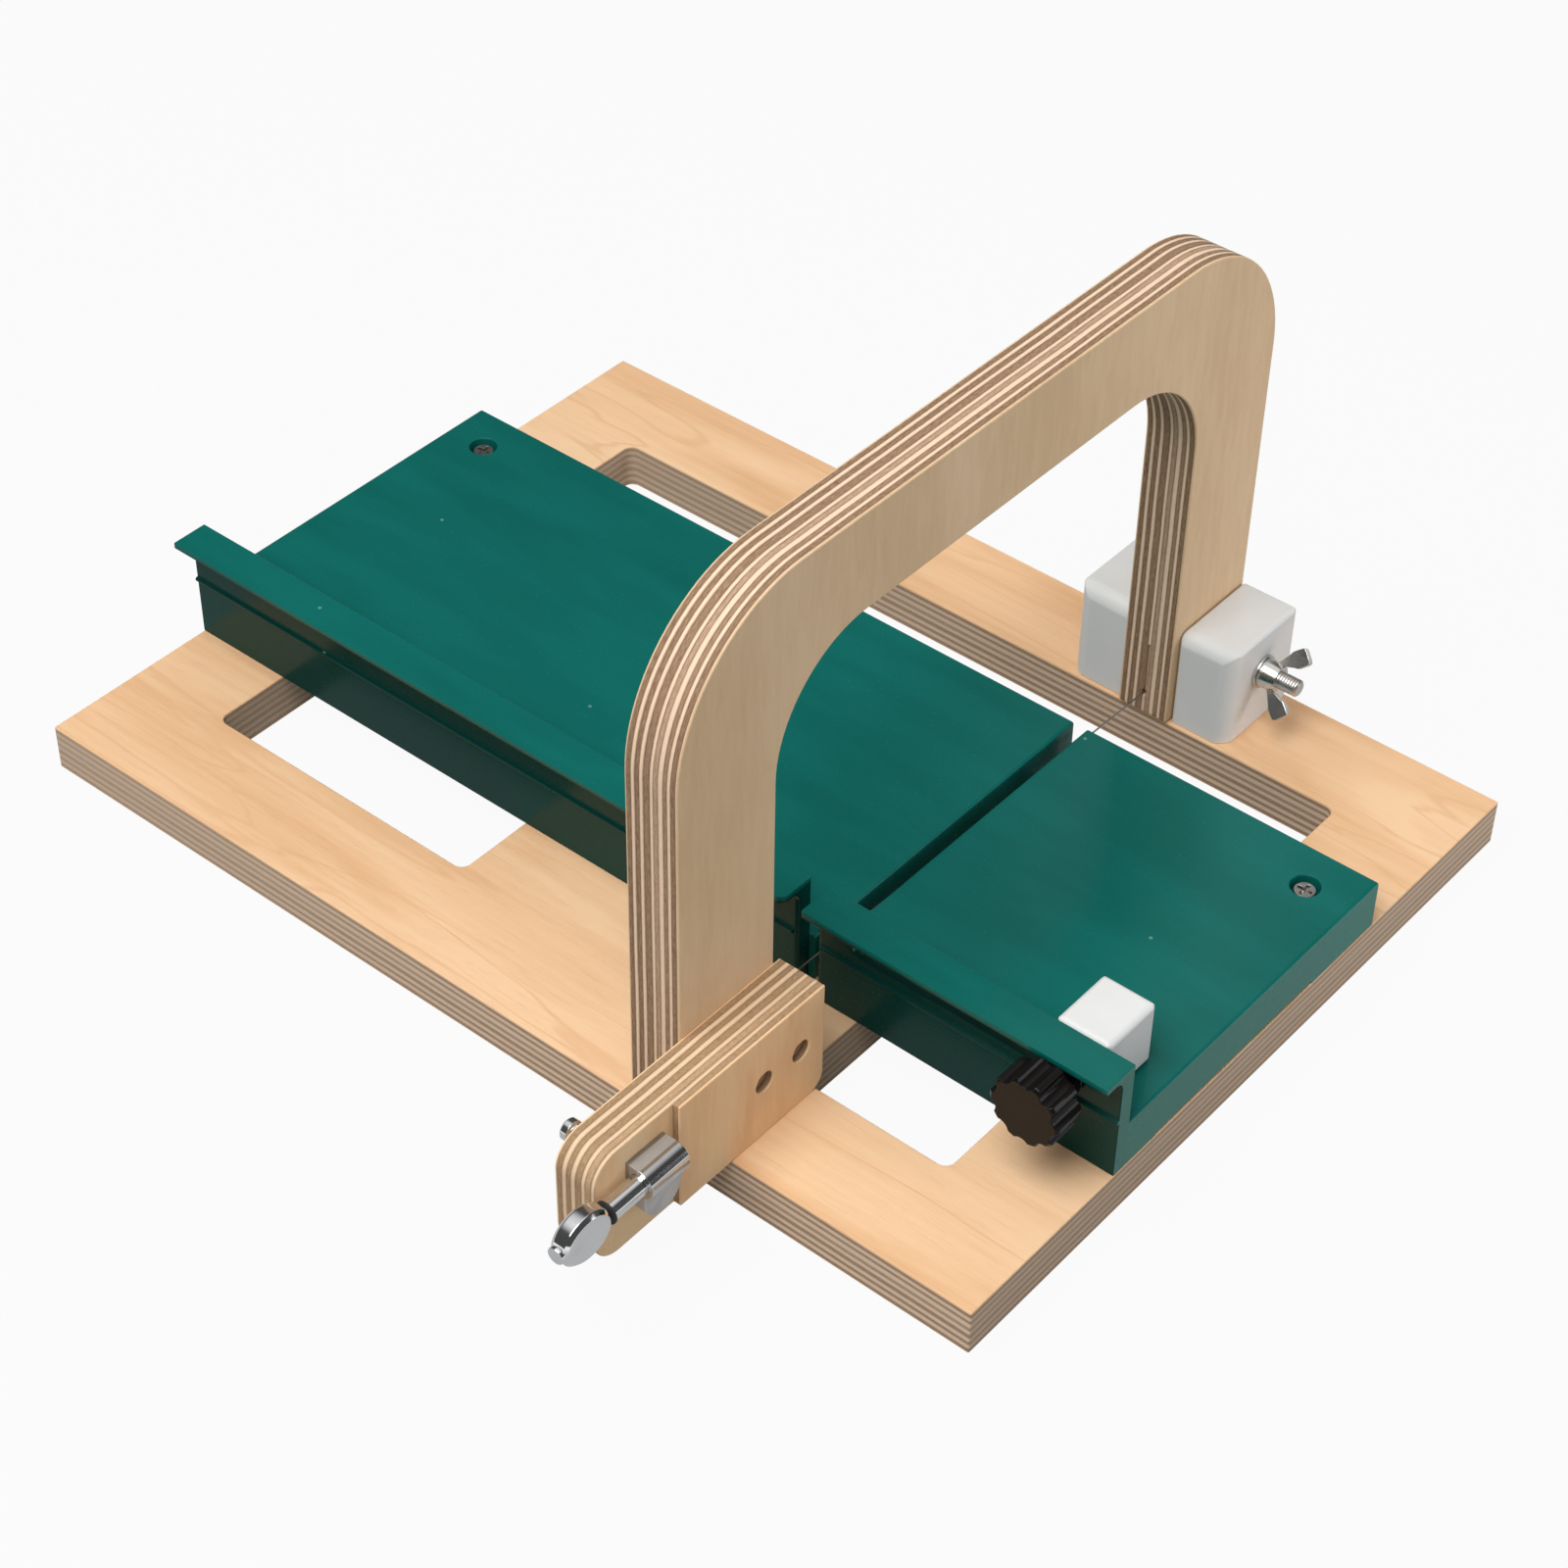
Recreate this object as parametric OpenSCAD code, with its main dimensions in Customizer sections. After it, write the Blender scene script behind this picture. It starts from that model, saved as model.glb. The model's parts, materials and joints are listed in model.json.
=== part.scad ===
// Single bar soap cutter: a board with two trays and a swinging arch that carries one wire.
// The origin is the middle of the board's underside. X runs along the trays, Y to the back.

/* [Base] */
// Length of the base board from left to right
base_l = 320; // [312:1:330]
// Depth of the base board from front to back
base_w = 235; // [232:1:240]
// Thickness of the base board
base_t = 14.5; // [12:0.5:18]
// Width of the rails around the windows
rail_w = 32; // [30:1:33]
// Radius in the corners of the windows
window_r = 3; // [2:0.5:8]
// Width of the tongue under the inner ends of the trays
tongue_w = 114.5; // [100:0.5:125]
// How far the tongue reaches to the right of the wire
tongue_reach = 15.5; // [13:0.5:20]
// How far the tongue ends in front of the trays' rear edge
tongue_setback = 10; // [6:1:30]

/* [Trays] */
// Length of the right tray
right_tray_l = 93.3; // [90:0.1:98]
// Width of the slot that the wire drops into
slot_w = 4.4; // [3.6:0.1:5]
// Distance from the front edge of the base to the fence
tray_front = 56; // [55:0.5:58]
// Distance from the rear edge of the base to the trays
tray_back = 63.5; // [60:0.5:68]
// Thickness of the deck
deck_t = 15.4; // [14:0.2:18]
// Height of the fence above the deck
fence_h = 20; // [18:0.5:26]
// Thickness of the fence
fence_t = 4.8; // [4:0.1:5.6]
// How far the lip hangs out over the fence
lip_reach = 6.7; // [5:0.1:7]
// Thickness of the lip
lip_t = 2; // [1.5:0.1:2.6]
// Radius of the cove under the lip
cove_r = 3; // [2:0.1:3.4]
// Height of the bead above the foot of the fence
bead_h = 19; // [16:0.1:19.5]
// Width of the bead
bead_w = 1.4; // [1:0.1:1.8]
// How far the bead stands out
bead_out = 0.9; // [0.8:0.1:1.2]
// Depth of the relief under the trays
relief = 0.8; // [0.5:0.1:1.5]
// Depth of the front foot of the trays
front_foot = 18; // [12:0.5:24]
// Depth of the rear foot of the trays
rear_foot = 29; // [24:0.5:34]
// Chamfer on the edges of the deck
deck_chamfer = 0.6; // [0.3:0.1:1]
// How far the left fence is cut back at the slot
fence_relief = 1.6; // [1:0.1:2.4]
// Radius of the fence's upright edges at the slot
fence_edge_r = 1.5; // [1:0.1:2]
// Radius of the lip's corner at the slot
lip_corner_r = 2.5; // [1.5:0.1:3]

/* [Arch] */
// Thickness of the arch
arch_t = 16; // [14:0.5:18]
// How far the arch's front leg stands out past the base
arch_overhang = 2.5; // [0:0.5:6]
// Height of the arch above the base
arch_h = 153.5; // [150:0.5:170]
// Height of the bar across the top
arch_bar = 28.7; // [26:0.1:32]
// Width of the front leg
front_leg_w = 34.6; // [33:0.1:36]
// Width of the rear leg
rear_leg_w = 33; // [32:0.1:34]
// Radius of the outer corners
arch_outer_r = 43; // [38:0.5:48]
// Radius of the inner corners
arch_inner_r = 32; // [26:0.5:36]

/* [Pivot] */
// Width of each pivot block
block_w = 18; // [16:0.5:20]
// Depth of each pivot block
block_d = 31; // [30:0.5:32]
// Height of each pivot block
block_h = 31.5; // [30:0.5:36]
// Radius of the blocks' front edges
block_r = 5; // [3:0.1:6]
// Radius of the blocks' other edges
block_side_r = 1.5; // [1:0.1:2.5]
// Height of the pivot above the base
pivot_h = 18.5; // [18:0.1:19.5]
// Diameter of the pivot bolt and of the stop's stud
bolt_d = 5; // [4.6:0.1:5]
// How far the bolt reaches past the right block
bolt_tip = 12.4; // [11:0.1:15]
// Span of the wing nut's wings
wing_span = 22; // [20:0.5:26]
// Height of the wing nut
wing_h = 11.5; // [10:0.5:13]
// Thickness of the wings
wing_t = 2.2; // [1.6:0.1:2.8]
// Angle at which the wings stand at rest
wing_angle = 55; // [0:5:175]

/* [Arm] */
// Length of the tension arm
arm_l = 80.8; // [78:0.1:86]
// Height of the tension arm
arm_h = 34.3; // [33:0.1:36]
// Thickness of the tension arm
arm_t = 14.5; // [13:0.5:16]
// How far the arm ends behind the front leg
arm_past_leg = 2.2; // [0:0.1:3]
// Radius of the arm's front corners
arm_corner_r = 8; // [4:0.5:10]
// Radius of the arm's rear lower corner
arm_heel_r = 5; // [3:0.5:8]
// Length of the recess that takes the tuner
recess_l = 27.5; // [26.5:0.1:30]
// Depth of the recess
recess_d = 2.2; // [1:0.1:3]
// Diameter of the counterbores for the arm's screws
arm_bore_d = 6.2; // [5.8:0.1:7]
// Depth of those counterbores
arm_bore_depth = 7; // [5:0.1:8]
// Spacing of the arm's screws
arm_screw_pitch = 13.7; // [12:0.1:15]
// Distance from the front leg's inner face to the middle of those screws
arm_screw_inset = 13.4; // [12:0.1:15]
// Height of those screws above the base
arm_screw_h = 18.2; // [17:0.1:20]

/* [Tuner] */
// Distance from the arm's front end to the string post
post_setback = 17.3; // [16:0.1:18.4]
// Diameter of the string post
post_d = 6; // [5.6:0.1:6.2]
// How far the post reaches past the wire
post_past_wire = 4.5; // [4:0.1:6]
// Pitch radius of the worm gear
gear_pitch_r = 4.2; // [4.1:0.02:4.3]
// Pitch radius of the worm
worm_pitch_r = 2.3; // [2.2:0.02:2.4]
// Radius of the round barrel over the worm
barrel_r = 4.3; // [4.1:0.1:4.6]
// Length of the tuner's housing along the arm
housing_l = 13.1; // [12.8:0.1:14]
// Distance from the arm's recess to the housing's outer face
housing_h = 5.9; // [5.7:0.1:6.4]
// Thickness of the housing's walls
housing_wall = 0.9; // [0.7:0.1:1]
// Diameter of the shaft between housing and button
shaft_d = 5.6; // [5.4:0.1:5.8]
// Length of the shaft between housing and button
shaft_out = 11.6; // [9:0.1:14]
// Length of the button
button_l = 16.5; // [14:0.1:20]
// Height of the button
button_h = 14; // [12:0.1:17]
// Thickness of the button
button_t = 5.5; // [5:0.1:7]

/* [Wire] */
// Diameter of the cutting wire
wire_d = 0.5; // [0.4:0.05:0.6]
// Height of the wire above the base where it meets the rear leg
wire_end_h = 7.5; // [6.5:0.1:8.5]
// Turns of wire round the post
wire_turns = 3; // [2:1:3]

/* [Stop] */
// Length of the stop block along the fence
stop_l = 16; // [14:0.5:20]
// Depth of the stop block
stop_d = 20; // [16:0.5:24]
// Radius of the stop block's edges
stop_r = 2; // [1:0.1:2.4]
// Distance from the right end of the tray to the stop's stud
stop_rest = 16; // [14:0.5:30]
// Distance from the stop's slot to the ends of the right tray
stop_margin = 10.8; // [8:0.1:11]
// Diameter of the knob
knob_d = 20.5; // [18:0.5:22]
// Thickness of the knob's fluted head
knob_t = 10.3; // [9:0.1:12]
// Diameter of the knob's hub
knob_hub_d = 10.5; // [9.5:0.1:11]
// Number of flutes round the knob
knob_flutes = 10; // [8:1:12]

/* [Screws] */
// Diameter of the wood screws' shanks
screw_d = 3.5; // [3:0.1:3.8]
// Diameter of the pan heads
pan_d = 7; // [6.4:0.1:7.4]
// Height of the pan heads
pan_h = 2.4; // [2:0.1:2.8]
// Diameter of the counterbores in the trays
tray_bore_d = 8.2; // [8:0.1:9]
// How deep the pan heads lie under the deck
pan_sink = 1.4; // [0.8:0.1:2]
// Inset of those screws from the trays' outer ends
tray_screw_x = 13.8; // [12:0.1:16]
// Inset of those screws from the trays' rear edge
tray_screw_y = 13.7; // [12:0.1:16]
// Diameter of the countersunk heads under the base
sunk_d = 7; // [6.4:0.1:8]
// How far the trays' screws from below reach above the base
under_bite = 10; // [8:0.5:12]
// How far the blocks' screws reach above the base
block_bite = 18; // [14:0.5:22]
// Spacing of the two screws in each block
block_screw_pitch = 16; // [14:0.5:20]

/* [Fits] */
// Clearance round a pin that turns in its bore
run_fit = 0.05; // [0.03:0.01:0.08]
// Clearance round a screw, stud or bush that is fixed in its hole
fix_fit = 0.03; // [0.02:0.01:0.05]
// Gap beside faces that slide or swing past each other
slide_gap = 0.25; // [0.2:0.01:0.35]
// Gap under the legs of the arch
leg_gap = 0.5; // [0.3:0.1:0.8]

/* [Hidden] */
$fn = 64;
// Overrun of every cut past the face it opens
over = 1;

// Edges of the base and of the trays
left_x = -base_l / 2;
right_x = base_l / 2;
front_y = -base_w / 2;
rear_y = base_w / 2;
deck_z = base_t + deck_t;
fence_y = front_y + tray_front;
fence_in_y = fence_y + fence_t;
lip_y = fence_y - lip_reach;
tray_rear_y = rear_y - tray_back;
fence_top_z = deck_z + fence_h;
lip_z = fence_top_z - lip_t;

// The wire's plane and the slot round it
slot_right_x = right_x - right_tray_l;
wire_x = slot_right_x - slot_w / 2;
slot_left_x = wire_x - slot_w / 2;
fence_end_x = slot_left_x - fence_relief;

// The tongue between the windows
tongue_right_x = wire_x + tongue_reach;
tongue_left_x = tongue_right_x - tongue_w;
tongue_rear_y = tray_rear_y - tongue_setback;

// The arch
arch_left_x = wire_x - arch_t / 2;
arch_right_x = wire_x + arch_t / 2;
arch_front_y = front_y - arch_overhang;
leg_in_front_y = arch_front_y + front_leg_w;
leg_in_rear_y = rear_y - rear_leg_w;
arch_foot_z = base_t + leg_gap;
arch_top_z = base_t + arch_h;
bar_z = arch_top_z - arch_bar;

// The pivot: the arch's heel is round about it, so it clears the base at every angle
bolt_r = bolt_d / 2;
pivot_y = rear_y - block_d / 2;
pivot_z = base_t + pivot_h;
heel_r = pivot_h - leg_gap;
left_block_x = arch_left_x - slide_gap - block_w;
right_block_x = arch_right_x + slide_gap;
block_out_x = right_block_x + block_w;
bolt_tip_x = block_out_x + bolt_tip;
bolt_head_af = 8;
bolt_head_h = 3.5;
bolt_chamfer = 0.5;
washer_t = 1;
washer_r = 5;
washer_fit = 0.15;
hub_r = 4.5;
hub_top_r = 3.7;
hub_h = 5;
wing_tip_r = 3.2;
wing_root_low = 0.6;
wing_root_high = 4.4;
wing_low_turn = -35;
wing_high_turn = 140;

// Screws: each tip is a cone, and each pilot hole runs a little past it
screw_r = screw_d / 2;
tip_l = 2;
pilot_gap = 0.4;
sunk_h = 2.2;
cross_share = 1.2;
pan_crown = 0.25;
cross_w = 0.9;
cross_depth = 1.3;
top_screw_l = 22;
pan_z = deck_z - pan_sink - pan_h;
under_edge = 8;
under_front_y = fence_y + front_foot / 2;
under_rear_y = tongue_rear_y - under_edge;
left_mid_x = (tongue_left_x + slot_left_x) / 2;
right_mid_x = (slot_right_x + tongue_right_x) / 2;
top_spots = [[left_x + tray_screw_x, tray_rear_y - tray_screw_y],
             [right_x - tray_screw_x, tray_rear_y - tray_screw_y]];
under_spots = [[left_x + tray_screw_x, under_front_y], [left_mid_x, under_front_y],
               [left_mid_x, under_rear_y], [right_x - tray_screw_x, under_front_y],
               [right_mid_x, under_front_y], [right_mid_x, under_rear_y]];
block_spots = [for (x = [left_block_x, right_block_x], s = [-1, 1])
               [x + block_w / 2, pivot_y + s * block_screw_pitch / 2]];

// The tension arm and its screws
arm_rear_y = leg_in_front_y + arm_past_leg;
arm_front_y = arm_rear_y - arm_l;
arm_out_x = arch_right_x + arm_t;
arm_top_z = base_t + arm_h;
recess_x = arm_out_x - recess_d;
arm_screw_z = base_t + arm_screw_h;
arm_head_r = 2.7;
arm_head_h = 2.2;
arm_screw_margin = 3.5;
arm_screw_seat_x = arm_out_x - arm_bore_depth;
arm_screw_tip_x = arch_left_x + arm_screw_margin;
arm_screw_ys = [for (s = [-1, 1]) leg_in_front_y - arm_screw_inset + s * arm_screw_pitch / 2];

// The string post, its bush and the tuner's base plate
post_r = post_d / 2;
post_y = arm_front_y + post_setback;
post_z = base_t + arm_h / 2;
post_end_x = wire_x - post_past_wire;
waist_r = 2.4;
waist_left = 2.3;
waist_gap = 0.4;
waist_slope = 0.5;
post_chamfer = 0.5;
eye_r = 0.5;
plate_t = 1;
plate_x = recess_x + plate_t;
pin_r = 1;
pin_l = 3.5;
pin_rise = 8.3;
bush_r = 4;
bush_af = 9.4;
bush_head_h = 2.8;
bush_washer_t = 0.8;
bush_washer_r = 6;
bush_head_x = arch_right_x - bush_washer_t - bush_head_h;

// The worm and its gear: fourteen teeth, one start, clearance on both flanks
gear_teeth = 14;
lead = 2 * PI * gear_pitch_r / gear_teeth;
mesh_r = gear_pitch_r + worm_pitch_r;
worm_z = post_z + mesh_r;
worm_x = recess_x + barrel_r;
addendum = 0.45;
root_gap = 0.1;
gear_tip_r = gear_pitch_r + addendum;
worm_tip_r = worm_pitch_r + addendum;
gear_root_r = mesh_r - worm_tip_r - root_gap;
worm_root_r = mesh_r - gear_tip_r - root_gap;
tooth_root_w = 1;
tooth_tip_w = 0.5;
thread_root_w = 0.84;
thread_tip_w = 0.36;
thread_sink = 0.15;
thread_turns = 4;
thread_steps = 18;
gear_t = 2.4;
gear_hub_r = 3.4;
gear_hub_gap = 0.1;
gear_web = 0.4;
spigot_w = 3.4;
gear_screw_r = 1;
gear_screw_l = 6;
gear_head_r = 2.1;
gear_head_h = 1.2;

// The housing over the gears
housing_x = recess_x + housing_h;
gear_x = housing_x - housing_wall - slide_gap - gear_t;
housing_front_y = post_y - housing_l / 2;
housing_rear_y = post_y + housing_l / 2;
housing_top_z = worm_z + barrel_r;
barrel_wall = 1.3;
rear_wall = 2;
journal_r = 1.2;
journal_l = 1.2;

// The shaft and its button
shaft_r = shaft_d / 2;
tang_r = 1.8;
tang_l = 10;
button_rear_y = housing_front_y - shaft_out;
button_front_y = button_rear_y - button_l;
button_chamfer = 1.1;
button_facets = 40;
button_washer_t = 0.6;
button_washer_r = 3.2;
boss_r = 2.4;
boss_l = 1.2;
button_head_r = 1.6;
button_head_h = 1;
button_head_sink = 0.3;
button_pin_r = 0.8;
button_pin_l = 6;
fine_cross_w = 0.5;
fine_cross_depth = 0.5;

// The wire runs straight from the rear leg to the underside of the post
wire_r = wire_d / 2;
wire_hole_r = 1.1;
wire_pitch = 0.95;
wire_steps = 20;
wire_sides = 8;
wind_r = waist_r + run_fit + wire_r;
wire_end_y = leg_in_rear_y;
wire_end_z = base_t + wire_end_h;
wire_dy = wire_end_y - post_y;
wire_dz = wire_end_z - post_z;
wire_slope = atan2(wire_dz, wire_dy) + asin(wind_r / norm([wire_dy, wire_dz]));
wire_start_y = post_y + wind_r * sin(wire_slope);
wire_start_z = post_z - wind_r * cos(wire_slope);
ferrule_r = 1.9;
ferrule_l = 3.2;
ferrule_bore_r = 2.3;
ferrule_inset = 9;
ferrule_end = 0.4;
ferrule_at = (rear_y - ferrule_inset - wire_start_y) / cos(wire_slope);
wire_l = ferrule_at + ferrule_l + ferrule_end;
slit_w = 0.8;
slit_depth = 5;
slit_top = 24.5;

// The stop, its stud and its knob
stop_x = right_x - stop_rest;
stop_y = fence_in_y + slide_gap;
stud_z = deck_z + fence_h / 2;
stud_fit = 0.15;
stud_bite = 12;
stop_left_x = slot_right_x + stop_margin;
stop_right_x = right_x - stop_margin;
stop_washer_y = fence_y - slide_gap - washer_t;
knob_gap = 0.5;
knob_back_y = lip_y - knob_gap;
knob_front_y = knob_back_y - knob_t;
knob_hub_l = stop_washer_y - knob_back_y;
knob_r = knob_d / 2;
flute_r = 2.6;
flute_depth = 1.7;
knob_chamfer = 0.8;
insert_r = 3.6;
insert_l = 11;
stud_end = 1;
stud_front_y = stop_washer_y - insert_l + stud_end;

// A flat shape in Y and Z, drawn along X from x0
module along_x(x0, l) {
    translate([x0, 0, 0]) rotate([90, 0, 90]) linear_extrude(l) children();
}

// A flat shape in X and Z, drawn along Y from y0
module along_y(y0, l) {
    translate([0, y0 + l, 0]) rotate([90, 0, 0]) linear_extrude(l) children();
}

// A round bar along X, and one along Y
module bar_x(x0, y, z, l, r) {
    translate([x0, y, z]) rotate([0, 90, 0]) cylinder(h = l, r = r);
}
module bar_y(x, y0, z, l, r) {
    translate([x, y0, z]) rotate([-90, 0, 0]) cylinder(h = l, r = r);
}

// A flat rectangle from a to b
module rect(a, b) {
    translate(a) square([b[0] - a[0], b[1] - a[1]]);
}

// What a corner of radius r loses: s points from the corner's tip outward
module corner_cut(tip, s, r) {
    translate(tip) difference() {
        rect([min(-s[0] * r, s[0] * over), min(-s[1] * r, s[1] * over)],
             [max(-s[0] * r, s[0] * over), max(-s[1] * r, s[1] * over)]);
        translate([-s[0] * r, -s[1] * r]) circle(r);
    }
}

// A flat rectangle whose corners have the radii lower left, lower right, top right, top left
module soft_rect(a, b, radii) {
    tips = [[a[0], a[1]], [b[0], a[1]], [b[0], b[1]], [a[0], b[1]]];
    ways = [[-1, -1], [1, -1], [1, 1], [-1, 1]];
    difference() {
        rect(a, b);
        for (i = [0:3]) if (radii[i] > 0) corner_cut(tips[i], ways[i], radii[i]);
    }
}

// Cross recess in a head of radius r, opening at z = 0 and cut downwards
module cross_recess(r, w, depth) {
    l = r * cross_share;
    for (a = [0, 90]) rotate([0, 0, a]) translate([-l / 2, -w / 2, -depth]) cube([l, w, depth + over]);
}

// Shank of a screw with its tip, pointing down from z = 0, and its pilot hole
module shank(l) {
    translate([0, 0, tip_l - l]) cylinder(h = l - tip_l, r = screw_r);
    translate([0, 0, -l]) cylinder(h = tip_l, r1 = 0, r2 = screw_r);
}
module pilot(l) {
    translate([0, 0, -l - pilot_gap]) cylinder(h = l + pilot_gap, r = screw_r + fix_fit);
}

// Pan head screw with its seat at z = 0
module pan_screw(l, r, h) {
    difference() {
        cylinder(h = h, r1 = r, r2 = r - h * pan_crown);
        translate([0, 0, h]) cross_recess(r, cross_w, cross_depth);
    }
    shank(l);
}

// Countersunk screw driven upwards, its head flush at z = 0, and its hole
module sunk_screw(l) {
    difference() {
        cylinder(h = sunk_h, r1 = sunk_d / 2, r2 = screw_r);
        mirror([0, 0, 1]) cross_recess(sunk_d / 2, cross_w, cross_depth);
    }
    mirror([0, 0, 1]) translate([0, 0, -sunk_h]) shank(l - sunk_h);
}
module sunk_hole(l) {
    translate([0, 0, -over]) cylinder(h = over, r = sunk_d / 2 + fix_fit);
    cylinder(h = sunk_h + fix_fit, r1 = sunk_d / 2 + fix_fit, r2 = screw_r + fix_fit);
    mirror([0, 0, 1]) pilot(l);
}

module at_spots(spots) {
    for (p = spots) translate([p[0], p[1], 0]) children();
}

module base_board() color([0.86, 0.72, 0.54]) difference() {
    linear_extrude(base_t) difference() {
        rect([left_x, front_y], [right_x, rear_y]);
        base_windows();
    }
    at_spots(top_spots) translate([0, 0, pan_z]) pilot(top_screw_l);
    at_spots(under_spots) sunk_hole(base_t + under_bite);
    at_spots(block_spots) sunk_hole(base_t + block_bite);
}

// The windows run into one another behind the tongue
module base_windows() {
    low = front_y + rail_w;
    high = rear_y - rail_w;
    soft_rect([left_x + rail_w, low], [tongue_left_x, high], [for (i = [0:3]) window_r]);
    soft_rect([tongue_right_x, low], [right_x - rail_w, high], [for (i = [0:3]) window_r]);
    soft_rect([left_x + rail_w, tongue_rear_y], [right_x - rail_w, high], [for (i = [0:3]) window_r]);
}

// Section of both trays: deck, fence, lip with its cove, bead, and relief between the feet
module tray_section() {
    difference() {
        rect([fence_y, base_t], [tray_rear_y, deck_z]);
        rect([fence_y + front_foot, base_t - over], [tray_rear_y - rear_foot, base_t + relief]);
    }
    rect([fence_y, base_t], [fence_in_y, fence_top_z]);
    rect([lip_y, lip_z], [fence_in_y, fence_top_z]);
    difference() {
        rect([fence_y - cove_r, lip_z - cove_r], [fence_y, lip_z]);
        translate([fence_y - cove_r, lip_z - cove_r]) circle(cove_r);
    }
    translate([fence_y - bead_out + bead_w / 2, base_t + bead_h]) circle(bead_w / 2);
    rect([fence_y - bead_out + bead_w / 2, base_t + bead_h - bead_w / 2],
         [fence_y + bead_w / 2, base_t + bead_h + bead_w / 2]);
}

// Chamfers round the deck: at the outer end, at the slot and along the rear
module deck_chamfers(x0, x1) {
    for (x = [x0, x1]) along_y(fence_in_y, tray_rear_y + over - fence_in_y)
        polygon([[x - deck_chamfer, deck_z], [x, deck_z - deck_chamfer], [x + deck_chamfer, deck_z],
                 [x, deck_z + deck_chamfer]]);
    along_x(x0 - over, x1 - x0 + 2 * over)
        polygon([[tray_rear_y - deck_chamfer, deck_z], [tray_rear_y, deck_z - deck_chamfer],
                 [tray_rear_y + deck_chamfer, deck_z], [tray_rear_y, deck_z + deck_chamfer]]);
}

// Rounds the fence's outer edge and the lip's corner where the fence ends at the slot
module fence_end_cuts(x, side, lip_r) {
    translate([0, 0, base_t - over]) linear_extrude(lip_z - cove_r + over - base_t)
        corner_cut([x, fence_y], [side, -1], fence_edge_r);
    translate([0, 0, lip_z]) linear_extrude(lip_t + over) corner_cut([x, lip_y], [side, -1], lip_r);
}

module tray_holes() {
    at_spots(top_spots) {
        translate([0, 0, pan_z]) cylinder(h = pan_h + pan_sink + over, r = tray_bore_d / 2);
        translate([0, 0, pan_z]) pilot(top_screw_l);
    }
    at_spots(under_spots) sunk_hole(base_t + under_bite);
}

module left_tray() color([0.06, 0.36, 0.32]) difference() {
    along_x(left_x, slot_left_x - left_x) tray_section();
    translate([fence_end_x, lip_y - over, base_t - over])
        cube([fence_relief + over, lip_reach + fence_t + over, deck_t + fence_h + 2 * over]);
    fence_end_cuts(fence_end_x, 1, lip_corner_r);
    deck_chamfers(left_x, slot_left_x);
    tray_holes();
}

module right_tray() color([0.06, 0.36, 0.32]) difference() {
    along_x(slot_right_x, right_tray_l) tray_section();
    fence_end_cuts(slot_right_x, -1, deck_chamfer);
    deck_chamfers(slot_right_x, right_x);
    tray_holes();
    along_y(lip_y - over, lip_reach + fence_t + 2 * over) stop_slot();
}

// Slot that the stop's stud slides in
module stop_slot() {
    r = bolt_r + stud_fit;
    for (x = [stop_left_x + r, stop_right_x - r]) translate([x, stud_z]) circle(r);
    rect([stop_left_x + r, stud_z - r], [stop_right_x - r, stud_z + r]);
}

module tray_top_screws() color("silver") at_spots(top_spots)
    translate([0, 0, pan_z]) pan_screw(top_screw_l, pan_d / 2, pan_h);

module tray_under_screws() color("silver") at_spots(under_spots) sunk_screw(base_t + under_bite);

module block_screws() color("silver") at_spots(block_spots) sunk_screw(base_t + block_bite);

// Block standing right of x0, with its outer side on the right
module pivot_block(x0) {
    front = rear_y - block_d;
    top = base_t + block_h;
    difference() {
        intersection() {
            translate([0, 0, base_t]) linear_extrude(block_h)
                soft_rect([x0, front], [x0 + block_w, rear_y],
                          [block_side_r, block_r, block_side_r, block_side_r]);
            along_x(x0, block_w)
                soft_rect([front, base_t], [rear_y, top], [0, 0, block_side_r, block_r]);
            along_y(front, block_d)
                soft_rect([x0, base_t], [x0 + block_w, top], [0, 0, block_side_r, block_side_r]);
        }
        bar_x(x0 - over, pivot_y, pivot_z, block_w + 2 * over, bolt_r + fix_fit);
        at_spots([for (s = [-1, 1]) [x0 + block_w / 2, pivot_y + s * block_screw_pitch / 2]])
            sunk_hole(base_t + block_bite);
    }
}

module left_pivot_block() color([0.93, 0.94, 0.94])
    translate([left_block_x + block_w, 0, 0]) mirror([1, 0, 0]) pivot_block(0);

module right_pivot_block() color([0.93, 0.94, 0.94]) pivot_block(right_block_x);

// Hexagonal head with chamfered outer corners, standing on z = 0
module hex_head(af, h) {
    r = af / sqrt(3);
    intersection() {
        cylinder(h = h, r = r, $fn = 6);
        cylinder(h = h, r1 = r + h, r2 = r - bolt_chamfer);
    }
}

module pivot_bolt() color("silver") {
    translate([left_block_x, pivot_y, pivot_z]) rotate([0, -90, 0]) hex_head(bolt_head_af, bolt_head_h);
    bar_x(left_block_x, pivot_y, pivot_z, bolt_tip_x - bolt_chamfer - left_block_x, bolt_r);
    translate([bolt_tip_x - bolt_chamfer, pivot_y, pivot_z]) rotate([0, 90, 0])
        cylinder(h = bolt_chamfer, r1 = bolt_r, r2 = bolt_r - bolt_chamfer);
}

module ring(l, r, hole_r) {
    difference() {
        cylinder(h = l, r = r);
        translate([0, 0, -over]) cylinder(h = l + 2 * over, r = hole_r);
    }
}

module wing_washer() color("silver") translate([block_out_x, pivot_y, pivot_z]) rotate([0, 90, 0])
    ring(washer_t, washer_r, bolt_r + washer_fit);

// Outline of one wing: radius across, height up
module wing_shape() {
    c = [wing_span / 2 - wing_tip_r, wing_h - wing_tip_r];
    translate(c) circle(wing_tip_r);
    polygon([[0, wing_root_low], c + wing_tip_r * [cos(wing_low_turn), sin(wing_low_turn)], c,
             c + wing_tip_r * [cos(wing_high_turn), sin(wing_high_turn)],
             [hub_top_r, wing_root_high], [0, wing_root_high]]);
}

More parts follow.
